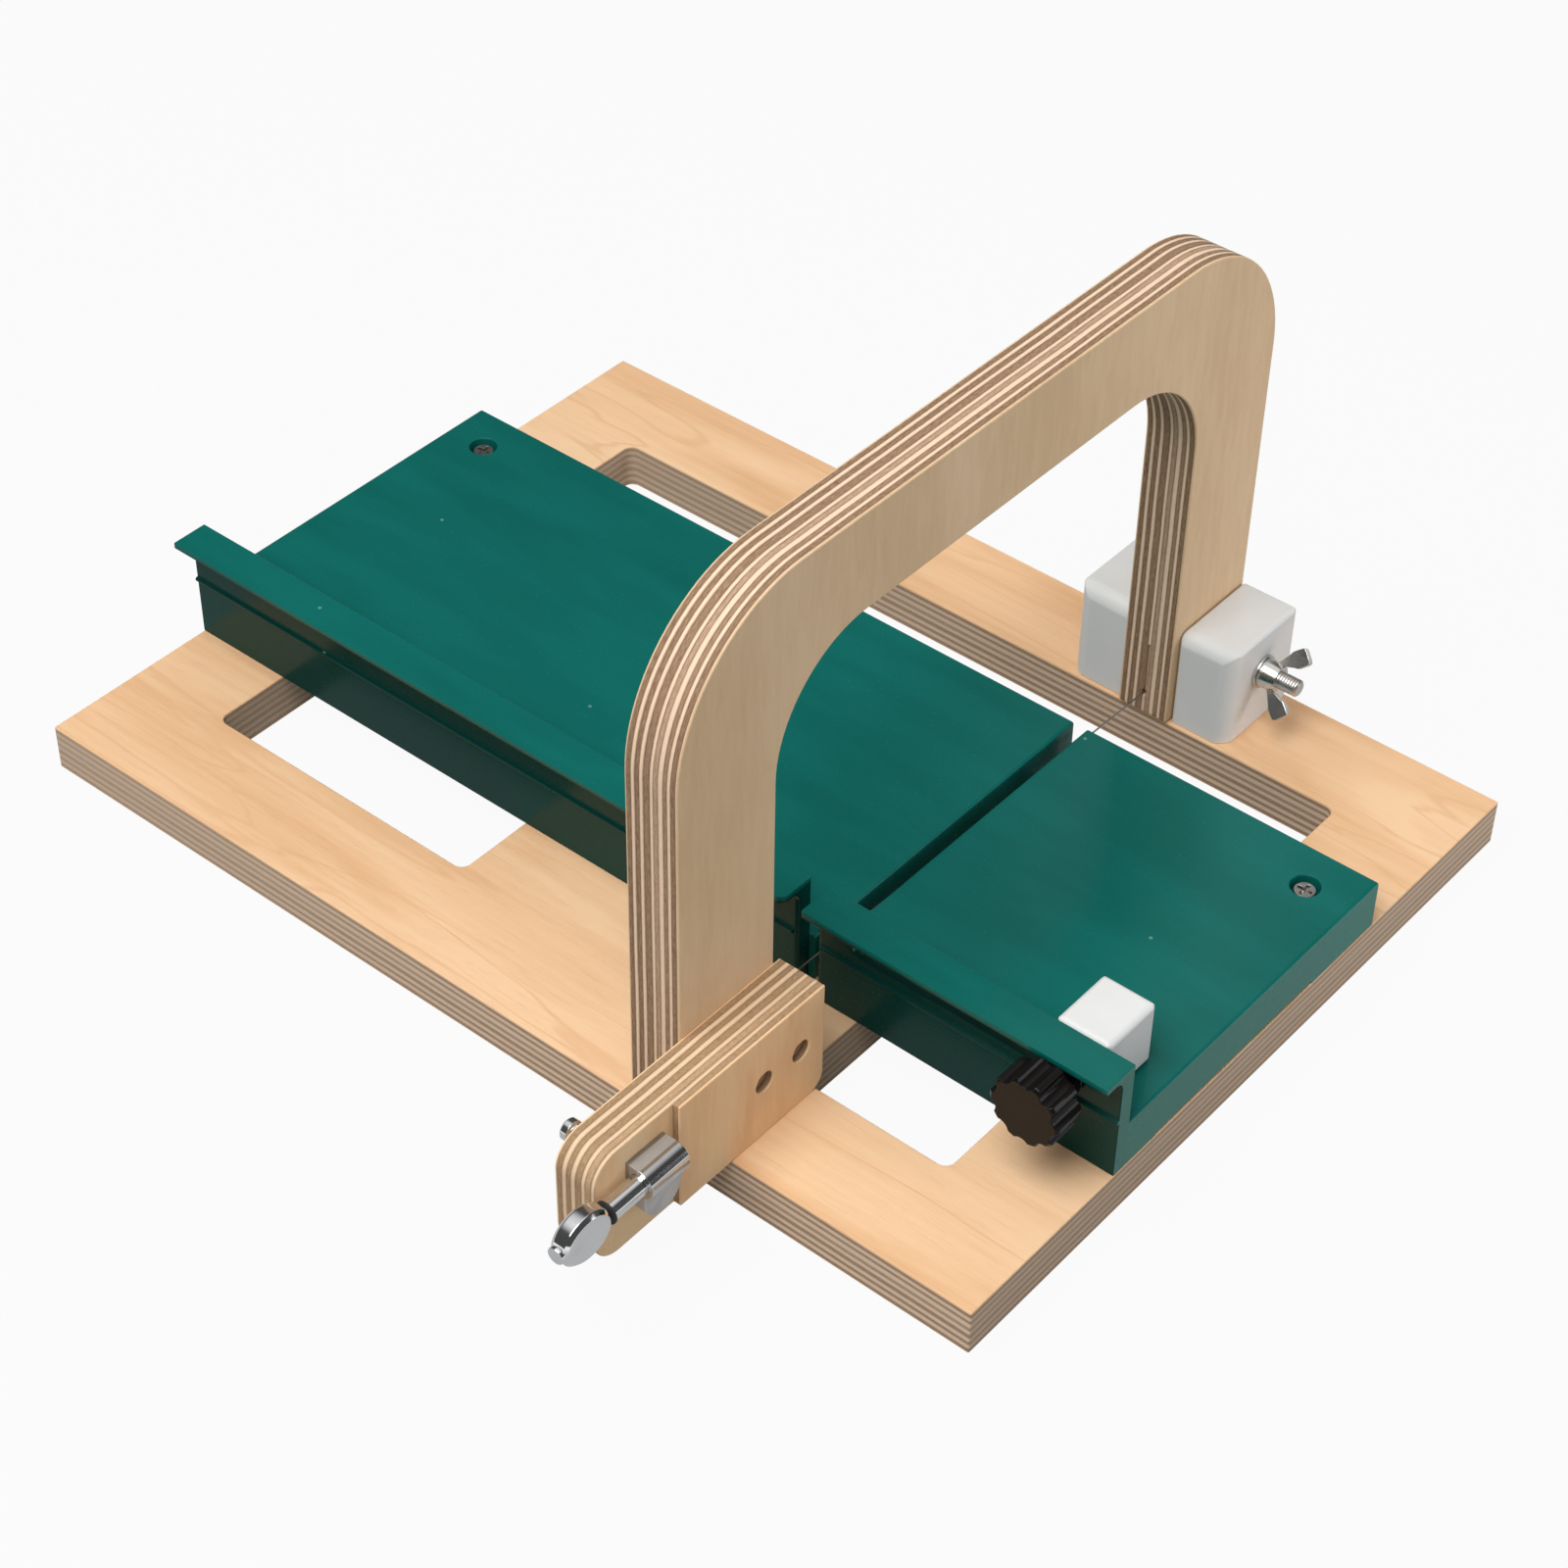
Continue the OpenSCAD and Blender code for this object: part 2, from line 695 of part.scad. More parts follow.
module wing_nut() color("silver")
    translate([block_out_x + washer_t, pivot_y, pivot_z]) rotate([90 + wing_angle, 0, 0]) rotate([0, 90, 0])
        difference() {
            union() {
                cylinder(h = hub_h, r1 = hub_r, r2 = hub_top_r);
                for (a = [0, 180]) rotate([0, 0, a]) translate([0, wing_t / 2, 0]) rotate([90, 0, 0])
                    linear_extrude(wing_t) wing_shape();
            }
            translate([0, 0, -over]) cylinder(h = wing_h + 2 * over, r = bolt_r + run_fit);
        }

// Outline of the arch with its round heel
module arch_shape() {
    difference() {
        soft_rect([arch_front_y, arch_foot_z], [rear_y, arch_top_z], [0, 0, arch_outer_r, arch_outer_r]);
        soft_rect([leg_in_front_y, arch_foot_z - over], [leg_in_rear_y, bar_z],
                  [0, 0, arch_inner_r, arch_inner_r]);
        difference() {
            rect([pivot_y, arch_foot_z - over], [rear_y + over, pivot_z]);
            translate([pivot_y, pivot_z]) circle(heel_r);
        }
        translate([pivot_y, pivot_z]) circle(bolt_r + run_fit);
    }
}

// A bar on the wire's line, from a distance s along it
module on_wire(s, l, r) {
    translate([wire_x, wire_start_y, wire_start_z]) rotate([wire_slope - 90, 0, 0])
        translate([0, 0, s]) cylinder(h = l, r = r);
}

module arm_screw_set(grow) {
    for (y = arm_screw_ys) translate([arm_screw_seat_x, y, arm_screw_z]) rotate([0, 90, 0])
        if (grow) pilot(arm_screw_seat_x - arm_screw_tip_x);
        else pan_screw(arm_screw_seat_x - arm_screw_tip_x, arm_head_r, arm_head_h);
}

module arch_bow() color([0.80, 0.67, 0.50]) difference() {
    along_x(arch_left_x, arch_t) arch_shape();
    on_wire(0, wire_l + ferrule_inset, wire_hole_r);
    on_wire(ferrule_at, ferrule_l + 2 * ferrule_inset, ferrule_bore_r);
    translate([wire_x - slit_w / 2, leg_in_rear_y - over, wire_end_z])
        cube([slit_w, slit_depth + over, base_t + slit_top - wire_end_z]);
    arm_screw_set(true);
}

module tension_arm() color([0.80, 0.62, 0.44]) difference() {
    along_x(arch_right_x, arm_t)
        soft_rect([arm_front_y, base_t], [arm_rear_y, arm_top_z],
                  [arm_corner_r, arm_heel_r, 0, arm_corner_r]);
    translate([recess_x, arm_front_y - over, base_t - over])
        cube([recess_d + over, recess_l + over, arm_h + 2 * over]);
    for (y = arm_screw_ys)
        bar_x(arm_screw_seat_x, y, arm_screw_z, arm_bore_depth + over, arm_bore_d / 2);
    arm_screw_set(true);
    bar_x(arch_right_x - over, post_y, post_z, arm_t + 2 * over, bush_r + fix_fit);
    bar_x(recess_x - pin_l - pilot_gap, post_y, post_z + pin_rise, pin_l + pilot_gap + over, pin_r + fix_fit);
}

module arm_screws() color("silver") arm_screw_set(false);

// Outline of the tuner's housing on the arm
module housing_shape() {
    rect([housing_front_y, post_z], [housing_rear_y, housing_top_z]);
    translate([post_y, post_z]) circle(housing_l / 2);
}

module tuner_base_plate() color("silver") {
    difference() {
        along_x(recess_x, plate_t) housing_shape();
        bar_x(recess_x - over, post_y, post_z, plate_t + 2 * over, post_r + run_fit);
    }
    bar_x(recess_x - pin_l, post_y, post_z + pin_rise, pin_l, pin_r);
}

// Hollow cover: round barrel over the worm, flat case with a round bottom over the gear
module tuner_cover() color("silver") difference() {
    union() {
        along_x(plate_x, housing_x - plate_x) intersection() {
            housing_shape();
            rect([housing_front_y, post_z - housing_l], [housing_rear_y, worm_z]);
        }
        along_x(plate_x, worm_x - plate_x)
            rect([housing_front_y, post_z], [housing_rear_y, housing_top_z]);
        intersection() {
            bar_y(worm_x, housing_front_y, worm_z, housing_l, barrel_r);
            translate([plate_x, housing_front_y, worm_z - barrel_r])
                cube([2 * barrel_r, housing_l, 2 * barrel_r]);
        }
    }
    bar_x(plate_x - over, post_y, post_z, housing_x - housing_wall - plate_x + over,
          housing_l / 2 - housing_wall);
    bar_y(worm_x, housing_front_y + housing_wall, worm_z, housing_l - housing_wall - rear_wall,
          barrel_r - barrel_wall);
    bar_y(worm_x, housing_front_y - over, worm_z, housing_wall + 2 * over, shaft_r + run_fit);
    bar_y(worm_x, housing_rear_y - rear_wall - over, worm_z, journal_l + over, journal_r + run_fit);
}

module tuner_bush() color("silver") translate([bush_head_x, post_y, post_z]) rotate([0, 90, 0])
    difference() {
        union() {
            translate([0, 0, bush_head_h]) mirror([0, 0, 1]) hex_head(bush_af, bush_head_h);
            cylinder(h = recess_x - bush_head_x, r = bush_r);
        }
        translate([0, 0, -over]) cylinder(h = recess_x - bush_head_x + 2 * over, r = post_r + run_fit);
    }

module bush_washer() color("silver")
    translate([bush_head_x + bush_head_h, post_y, post_z]) rotate([0, 90, 0])
        ring(bush_washer_t, bush_washer_r, bush_r + fix_fit);

// Post with a waist for the wire, an eye across it and a square end in the gear
module string_post() color("silver") difference() {
    waist_end = post_past_wire + wire_turns * wire_pitch + waist_gap;
    union() {
        translate([post_end_x, post_y, post_z]) rotate([0, 90, 0]) rotate_extrude()
            polygon([[0, 0], [post_r - post_chamfer, 0], [post_r, post_chamfer],
                     [post_r, post_past_wire - waist_left],
                     [waist_r, post_past_wire - waist_left + waist_slope],
                     [waist_r, waist_end], [post_r, waist_end + waist_slope],
                     [post_r, plate_x - post_end_x], [0, plate_x - post_end_x]]);
        translate([plate_x, post_y - spigot_w / 2, post_z - spigot_w / 2])
            cube([gear_x + gear_t - gear_head_h - gear_web - slide_gap - plate_x, spigot_w, spigot_w]);
    }
    translate([wire_x, post_y, post_z - post_r - over]) cylinder(h = post_d + 2 * over, r = eye_r);
    bar_x(gear_x + gear_t - gear_head_h - gear_screw_l - pilot_gap, post_y, post_z,
          gear_screw_l + gear_head_h + pilot_gap, gear_screw_r + fix_fit);
}

// A tooth stands on the root circle, half a pitch from the top
module gear_shape() {
    circle(gear_root_r);
    for (i = [0:gear_teeth - 1]) rotate((i + 0.5) * 360 / gear_teeth)
        polygon([[-tooth_root_w / 2, 0], [tooth_root_w / 2, 0], [tooth_root_w / 2, gear_root_r],
                 [tooth_tip_w / 2, gear_tip_r], [-tooth_tip_w / 2, gear_tip_r],
                 [-tooth_root_w / 2, gear_root_r]]);
}

module worm_gear() color("goldenrod") difference() {
    union() {
        along_x(gear_x, gear_t) translate([post_y, post_z]) gear_shape();
        bar_x(plate_x + gear_hub_gap, post_y, post_z, gear_x - plate_x - gear_hub_gap, gear_hub_r);
    }
    translate([plate_x - over, post_y - spigot_w / 2 - fix_fit, post_z - spigot_w / 2 - fix_fit])
        cube([gear_x + gear_t - gear_head_h - gear_web - plate_x + over, spigot_w + 2 * fix_fit,
              spigot_w + 2 * fix_fit]);
    bar_x(plate_x, post_y, post_z, housing_x - plate_x, gear_screw_r + fix_fit);
    bar_x(gear_x + gear_t - gear_head_h, post_y, post_z, gear_head_h + over, gear_head_r + fix_fit);
}

module gear_screw() color("silver")
    translate([gear_x + gear_t - gear_head_h, post_y, post_z]) rotate([0, 90, 0]) {
        difference() {
            cylinder(h = gear_head_h, r = gear_head_r);
            translate([0, 0, gear_head_h]) cross_recess(gear_head_r, fine_cross_w, fine_cross_depth);
        }
        translate([0, 0, -gear_screw_l]) cylinder(h = gear_screw_l, r = gear_screw_r);
    }

// Thread of the worm, a right hand helix about z whose crest is at z = 0 over +y
function thread_ring(a) = [for (p = [[worm_root_r - thread_sink, -thread_root_w / 2],
                                     [worm_root_r - thread_sink, thread_root_w / 2],
                                     [worm_tip_r, thread_tip_w / 2], [worm_tip_r, -thread_tip_w / 2]])
    [p[0] * cos(a), p[0] * sin(a), p[1] + lead * (a - 90) / 360]];

// Skin over rings of k points each, closed at both ends
function skin_faces(rings, k) = concat(
    [[for (j = [0:k - 1]) j]],
    [for (i = [0:rings - 2], j = [0:k - 1]) [i * k + j, (i + 1) * k + j, i * k + (j + 1) % k]],
    [for (i = [0:rings - 2], j = [0:k - 1])
        [i * k + (j + 1) % k, (i + 1) * k + j, (i + 1) * k + (j + 1) % k]],
    [[for (j = [k - 1:-1:0]) (rings - 1) * k + j]]);

module worm_thread() {
    n = thread_turns * thread_steps;
    rings = [for (i = [0:n]) thread_ring(90 + 360 * (i / thread_steps - thread_turns / 2))];
    polyhedron([for (r = rings, p = r) p], skin_faces(n + 1, 4), convexity = 8);
}

module worm_shaft() color("silver") translate([worm_x, post_y, worm_z]) rotate([-90, 0, 0])
    difference() {
        union() {
            worm_thread();
            translate([0, 0, -housing_l / 2 + housing_wall])
                cylinder(h = housing_l - housing_wall - rear_wall - slide_gap, r = worm_root_r);
            translate([0, 0, housing_l / 2 - rear_wall - slide_gap])
                cylinder(h = journal_l, r = journal_r);
            translate([0, 0, button_rear_y + button_washer_t - post_y])
                cylinder(h = shaft_out - button_washer_t + housing_wall, r = shaft_r);
            translate([0, 0, button_rear_y - tang_l - post_y])
                cylinder(h = tang_l + button_washer_t, r = tang_r);
        }
        translate([0, 0, button_rear_y - tang_l - post_y - over])
            cylinder(h = button_pin_l + over + pilot_gap, r = button_pin_r + fix_fit);
    }

module button_washer() color([0.1, 0.1, 0.1])
    translate([worm_x, button_rear_y, worm_z]) rotate([-90, 0, 0])
        ring(button_washer_t, button_washer_r, tang_r + fix_fit);

// Oval outline of the button, shrunk by c all round
module button_oval(c) {
    polygon([for (i = [0:button_facets - 1])
        [(button_l / 2 - c) * cos(i * 360 / button_facets), (button_h / 2 - c) * sin(i * 360 / button_facets)]]);
}

module tuner_button() color("silver") difference() {
    union() {
        translate([worm_x, button_rear_y - button_l / 2, worm_z]) rotate([90, 0, 90]) hull() {
            translate([0, 0, button_chamfer - button_t / 2])
                linear_extrude(button_t - 2 * button_chamfer) button_oval(0);
            translate([0, 0, -button_t / 2]) linear_extrude(button_t) button_oval(button_chamfer);
        }
        bar_y(worm_x, button_front_y - boss_l / 2, worm_z, boss_l + boss_r, boss_r);
        bar_y(worm_x, button_rear_y - boss_r, worm_z, boss_r, boss_r);
    }
    bar_y(worm_x, button_rear_y - tang_l - fix_fit, worm_z, tang_l + fix_fit + over, tang_r + fix_fit);
    bar_y(worm_x, button_front_y - over, worm_z, button_l, button_pin_r + fix_fit);
    bar_y(worm_x, button_front_y - boss_l / 2 - over, worm_z,
          button_head_h + button_head_sink + over, button_head_r + fix_fit);
}

module button_screw() color("silver")
    translate([worm_x, button_front_y - boss_l / 2 + button_head_sink, worm_z]) rotate([-90, 0, 0]) {
        difference() {
            cylinder(h = button_head_h, r = button_head_r);
            mirror([0, 0, 1]) cross_recess(button_head_r, fine_cross_w, fine_cross_depth);
        }
        translate([0, 0, button_head_h])
            cylinder(h = button_l + boss_l / 2 - button_head_sink - button_head_h - tang_l + button_pin_l,
                     r = button_pin_r);
    }

// The wire's own line: turns round the post, then straight to the ferrule in the rear leg
wire_points = concat(
    [for (i = [0:wire_turns * wire_steps])
        let (a = wire_slope - 90 - 360 * (wire_turns - i / wire_steps))
        [wire_x + wire_pitch * (wire_turns - i / wire_steps),
         post_y + wind_r * cos(a), post_z + wind_r * sin(a)]],
    [[wire_x, wire_start_y + wire_l * cos(wire_slope), wire_start_z + wire_l * sin(wire_slope)]]);
wire_norms = [for (i = [0:wire_turns * wire_steps + 1])
    let (a = wire_slope - 90 - 360 * max(wire_turns - i / wire_steps, 0)) [0, cos(a), sin(a)]];

// Least gap between the turns, measured between points at least half a turn apart
half_turn = wire_steps / 2;
wire_gap = min([for (i = [0:len(wire_points) - 1 - half_turn], j = [i + half_turn:len(wire_points) - 1])
    norm(wire_points[i] - wire_points[j])]) - wire_d;
echo(wire_gap = wire_gap);

module cutting_wire() color("silver") {
    n = len(wire_points);
    ways = [for (i = [0:n - 1]) wire_points[min(i + 1, n - 1)] - wire_points[max(min(i, n - 2), 0)]];
    rings = [for (i = [0:n - 1])
        let (side = cross(ways[i], wire_norms[i]) / norm(cross(ways[i], wire_norms[i])))
        [for (j = [0:wire_sides - 1])
            let (b = j * 360 / wire_sides) wire_points[i] + wire_r * (wire_norms[i] * cos(b) + side * sin(b))]];
    polyhedron([for (r = rings, p = r) p], skin_faces(n, wire_sides), convexity = 8);
}

module wire_ferrule() color("goldenrod") difference() {
    on_wire(ferrule_at, ferrule_l, ferrule_r);
    on_wire(ferrule_at - over, ferrule_l + 2 * over, wire_r + fix_fit);
}

module stop_block() color([0.93, 0.94, 0.94]) difference() {
    low = deck_z + slide_gap;
    a = stop_x - stop_l / 2;
    b = stop_x + stop_l / 2;
    intersection() {
        translate([0, 0, low]) linear_extrude(fence_top_z - low)
            soft_rect([a, stop_y], [b, stop_y + stop_d], [for (i = [0:3]) stop_r]);
        along_x(a, stop_l)
            soft_rect([stop_y, low], [stop_y + stop_d, fence_top_z], [for (i = [0:3]) stop_r]);
        along_y(stop_y, stop_d) soft_rect([a, low], [b, fence_top_z], [for (i = [0:3]) stop_r]);
    }
    bar_y(stop_x, stop_y - over, stud_z, stud_bite + over + pilot_gap, bolt_r + fix_fit);
}

module stop_stud() color("silver")
    bar_y(stop_x, stud_front_y, stud_z, stop_y + stud_bite - stud_front_y, bolt_r);

module stop_washer() color("silver") translate([stop_x, stop_washer_y, stud_z]) rotate([-90, 0, 0])
    ring(washer_t, washer_r, bolt_r + washer_fit);

// Fluted head and plain hub, drawn from the front face back
module clamp_knob() color([0.07, 0.07, 0.07])
    translate([stop_x, knob_front_y, stud_z]) rotate([-90, 0, 0]) difference() {
        union() {
            intersection() {
                linear_extrude(knob_t) knob_shape();
                rotate_extrude() polygon([[0, 0], [knob_r - knob_chamfer, 0], [knob_r, knob_chamfer],
                                          [knob_r, knob_t - knob_chamfer],
                                          [knob_r - knob_chamfer, knob_t], [0, knob_t]]);
            }
            cylinder(h = knob_t + knob_hub_l, r = knob_hub_d / 2);
        }
        translate([0, 0, knob_t + knob_hub_l - insert_l])
            cylinder(h = insert_l + over, r = insert_r + fix_fit);
    }

module knob_shape() {
    difference() {
        circle(knob_r);
        for (i = [0:knob_flutes - 1]) rotate(i * 360 / knob_flutes)
            translate([0, knob_r + flute_r - flute_depth]) circle(flute_r);
    }
}

module knob_insert() color("goldenrod")
    translate([stop_x, stop_washer_y - insert_l, stud_z]) rotate([-90, 0, 0])
        ring(insert_l, insert_r, bolt_r + run_fit);

base_board();
left_tray();
right_tray();
tray_top_screws();
tray_under_screws();
left_pivot_block();
right_pivot_block();
block_screws();
pivot_bolt();
wing_washer();
wing_nut();
arch_bow();
tension_arm();
arm_screws();
tuner_base_plate();
tuner_cover();
tuner_bush();
bush_washer();
worm_shaft();
worm_gear();
gear_screw();
string_post();
button_washer();
tuner_button();
button_screw();
cutting_wire();
wire_ferrule();
stop_block();
stop_stud();
stop_washer();
clamp_knob();
knob_insert();
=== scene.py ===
import json
import math

import bmesh
import bpy
from mathutils import Matrix, Vector


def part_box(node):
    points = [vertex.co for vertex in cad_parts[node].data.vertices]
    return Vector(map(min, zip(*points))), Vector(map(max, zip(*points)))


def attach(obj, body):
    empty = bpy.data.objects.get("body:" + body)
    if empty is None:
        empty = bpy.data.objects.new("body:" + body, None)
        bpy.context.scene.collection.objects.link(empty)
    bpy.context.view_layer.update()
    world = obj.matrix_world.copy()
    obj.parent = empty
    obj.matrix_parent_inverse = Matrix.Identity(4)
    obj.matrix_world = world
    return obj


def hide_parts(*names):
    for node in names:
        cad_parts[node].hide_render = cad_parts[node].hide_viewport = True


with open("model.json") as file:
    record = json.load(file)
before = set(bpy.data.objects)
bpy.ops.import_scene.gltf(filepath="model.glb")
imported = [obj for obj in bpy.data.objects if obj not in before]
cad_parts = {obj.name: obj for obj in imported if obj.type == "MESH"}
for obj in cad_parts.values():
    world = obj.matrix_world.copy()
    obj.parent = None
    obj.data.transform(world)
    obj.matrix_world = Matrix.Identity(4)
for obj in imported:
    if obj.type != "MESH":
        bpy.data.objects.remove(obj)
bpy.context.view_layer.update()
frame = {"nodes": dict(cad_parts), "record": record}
nodes = frame["nodes"]
bpy.ops.object.select_all(action="DESELECT")
mm = 0.001
print("frame loaded")

# The camera stands where the photo was taken: place in metres, lens and sensor in mm
photo = {
    "place": (0.44816, -0.54193, 0.63267),
    "ahead": (-0.47307, 0.57840, -0.66457),
    "right": (0.76664, 0.64195, 0.01298),
    "lens": 78.39, "sensor": 36,
}


def placeCamera():
    ahead = Vector(photo["ahead"]).normalized()
    right = Vector(photo["right"]).normalized()
    up = right.cross(ahead)
    turn = Matrix((right, up, -ahead)).transposed().to_4x4()
    eye = bpy.data.cameras.new("photoCamera")
    eye.lens, eye.sensor_width = photo["lens"], photo["sensor"]
    eye.sensor_fit = "AUTO"
    holder = bpy.data.objects.new("photoCamera", eye)
    holder.matrix_world = Matrix.Translation(photo["place"]) @ turn
    bpy.context.collection.objects.link(holder)
    bpy.context.scene.camera = holder


class Socket:  # one output of a node, usable in a Python sum
    def __init__(self, paint, end):
        self.paint, self.end = paint, end

    def sum(self, kind, left, right=0.0):
        return self.paint.node("ShaderNodeMath", {"operation": kind}, {0: left, 1: right})

    def __add__(self, other):
        return self.sum("ADD", self, other)

    def __radd__(self, other):
        return self.sum("ADD", other, self)

    def __sub__(self, other):
        return self.sum("SUBTRACT", self, other)

    def __rsub__(self, other):
        return self.sum("SUBTRACT", other, self)

    def __mul__(self, other):
        return self.sum("MULTIPLY", self, other)

    def __rmul__(self, other):
        return self.sum("MULTIPLY", other, self)

    def __truediv__(self, other):
        return self.sum("DIVIDE", self, other)

    def __rtruediv__(self, other):
        return self.sum("DIVIDE", other, self)

    def __pow__(self, other):
        return self.sum("POWER", self, other)

    def __abs__(self):
        return self.sum("ABSOLUTE", self)

    def rest(self):
        return self.sum("FRACT", self)

    def whole(self):
        return self.sum("FLOOR", self)

    def least(self, other):
        return self.sum("MINIMUM", self, other)

    def most(self, other):
        return self.sum("MAXIMUM", self, other)


class Paint:  # one material, or the world, and the nodes in it
    def __init__(self, name, holder=None):
        self.holder = holder or bpy.data.materials.new(name)
        self.holder.use_nodes = True
        self.tree = self.holder.node_tree
        self.place = None

    def node(self, kind, settings, sockets, out=0):
        made = self.tree.nodes.new(kind)
        for name, value in settings.items():
            if name == "stops":
                ramp = made.color_ramp.elements
                while len(ramp) < len(value):
                    ramp.new(0.5)
                for stop, (at, shade) in zip(ramp, value):
                    stop.position, stop.color = at, (*shade, 1)
            else:
                setattr(made, name, value)
        for name, value in sockets.items():
            self.plug(made.inputs[name], value)
        return Socket(self, made.outputs[out])

    def plug(self, end, value):
        if isinstance(value, Socket):
            self.tree.links.new(value.end, end)
        elif isinstance(value, tuple) and len(value) == 3 and end.type == "RGBA":
            end.default_value = (*value, 1)
        else:
            end.default_value = value

    def object(self):
        if self.place is None:
            self.place = self.node("ShaderNodeTexCoord", {}, {}, "Object")
        return self.place

    def facing(self, axis, low=0.80, high=0.95):  # 1 where the surface looks along an axis
        normal = self.node("ShaderNodeTexCoord", {}, {}, "Normal")
        return self.step(abs(self.split(normal)[axis]), low, high)

    def split(self, vector):
        parts = self.node("ShaderNodeSeparateXYZ", {}, {0: vector})
        return [Socket(self, end) for end in parts.end.node.outputs]

    def scaled(self, scale, shift=(0, 0, 0)):
        return self.node("ShaderNodeMapping", {}, {
            "Vector": self.object(), "Location": shift, "Scale": scale})

    def noise(self, scale, detail=3, roughness=0.55, distortion=0.0, shift=(0, 0, 0)):
        return self.node("ShaderNodeTexNoise", {}, {
            "Vector": self.scaled(scale, shift), "Scale": 1.0, "Detail": detail,
            "Roughness": roughness, "Distortion": distortion}, "Fac")

    def step(self, value, low, high):  # 0 below low, 1 above high, smooth between
        return self.node("ShaderNodeMapRange", {"interpolation_type": "SMOOTHSTEP"}, {
            0: value, 1: low, 2: high, 3: 0.0, 4: 1.0})

    def mix(self, factor, first, second):
        return self.node("ShaderNodeMix", {
            "data_type": "RGBA", "blend_type": "MIX", "clamp_factor": True}, {
            0: factor, 6: first, 7: second}, 2)

    def bump(self, height, depth, strength):
        return self.node("ShaderNodeBump", {}, {
            "Strength": strength, "Distance": depth, "Height": height})

    def surface(self, **values):
        shader = self.tree.nodes["Principled BSDF"]
        for name, value in values.items():
            self.plug(shader.inputs[name.replace("_", " ")], value)
        return self.holder


# Floor, sky and lamps. The floor and the sky show white to the camera, and reflections see the
# floor darker far off, and darker close to the soap cutter as a painted shadow
studio = {
    "floorSize": 8.0, "floorCuts": 4, "floorShade": (0.36, 0.36, 0.36), "floorRoughness": 0.9,
    "floorGlow": 0.94, "backdrop": 0.965,
    "farShade": 0.9, "sweepEnd": (0.8, 1.7),
    "nearPaintedShadow": 0.48, "nearEdge": (0.22, 0.42),
    "skyLevel": 0.36, "skyLow": 0.07, "skyHigh": 0.85, "skyBand": (0.70, 0.92),
    "lamps": [
        # place, aim, width, height, watts, spread in degrees, colour
        ((0.04, -0.60, 1.24), (0.02, -0.05, 0.05), 0.9, 0.9, 15.6, 180, (1, 1, 1)),
        ((0.50, 0.26, 0.16), (0.07, 0.13, 0.12), 0.2, 0.2, 0.11, 72, (0.98, 0.98, 1.04)),
        ((-0.32, 0.78, 0.83), (0.125, 0.02, 0.03), 0.15, 0.9, 0.42, 180, (1, 1, 1)),
    ],
}


def rays(paint):  # 1 for what the camera sees straight, and 1 for reflections
    ray = paint.node("ShaderNodeLightPath", {}, {}, "Is Camera Ray").end.node.outputs
    mirrored = Socket(paint, ray["Is Glossy Ray"]).most(Socket(paint, ray["Is Transmission Ray"]))
    return Socket(paint, ray["Is Camera Ray"]), mirrored


def buildFloor():
    bpy.ops.mesh.primitive_grid_add(x_subdivisions=studio["floorCuts"],
                                    y_subdivisions=studio["floorCuts"], size=studio["floorSize"])
    floor = bpy.context.object
    floor.name = "studioFloor"
    paint = Paint("studioFloor")
    paint.surface(Base_Color=studio["floorShade"], Roughness=studio["floorRoughness"])
    shader = paint.tree.nodes["Principled BSDF"]
    seen, mirrored = rays(paint)
    across, back = paint.split(paint.object())[:2]
    away = (across * across + back * back) ** 0.5
    far = paint.step(away, *studio["sweepEnd"])
    # Painted shadow: reflections see the floor darker close to the soap cutter, standing in for its
    # shadow on the floor
    near = 1 - paint.step(away, *studio["nearEdge"])
    dimmed = mirrored * (far * studio["farShade"] + near * studio["nearPaintedShadow"])
    glow = paint.node("ShaderNodeEmission", {}, {"Color": (1, 1, 1), "Strength": 1 - dimmed})
    blend = paint.node("ShaderNodeMixShader", {}, {
        0: seen.most(mirrored) * studio["floorGlow"], 1: Socket(paint, shader.outputs[0]), 2: glow})
    paint.tree.links.new(blend.end, paint.tree.nodes["Material Output"].inputs["Surface"])
    floor.data.materials.append(paint.holder)


def buildSky():
    world = bpy.data.worlds.new("studioWorld")
    bpy.context.scene.world = world
    sky = Paint(world.name, world)
    back = sky.tree.nodes["Background"]
    seen, mirrored = rays(sky)
    height = sky.split(sky.node("ShaderNodeTexCoord", {}, {}, "Generated"))[2]
    low, high = studio["skyLow"], studio["skyHigh"]
    overhead = low + sky.step(height, *studio["skyBand"]) * (high - low)
    others = (1 - seen.most(mirrored)) * studio["skyLevel"]
    sky.plug(back.inputs["Color"], (1, 1, 1))
    sky.plug(back.inputs["Strength"], seen * studio["backdrop"] + mirrored * overhead + others)


def hangLamps():
    for index, lampLook in enumerate(studio["lamps"]):
        place, aim, width, height, watts, spread, tint = lampLook
        lamp = bpy.data.lights.new("softLamp%d" % index, "AREA")
        lamp.shape, lamp.size, lamp.size_y, lamp.energy = "RECTANGLE", width, height, watts
        lamp.spread, lamp.color = math.radians(spread), tint
        holder = bpy.data.objects.new(lamp.name, lamp)
        away = Vector(aim) - Vector(place)
        turn = away.to_track_quat("-Z", "Y").to_matrix().to_4x4()
        holder.matrix_world = Matrix.Translation(place) @ turn
        bpy.context.collection.objects.link(holder)


placeCamera()
buildFloor()
buildSky()
hangLamps()
bpy.context.scene.view_settings.view_transform = "Standard"
print("camera, floor and lights placed")

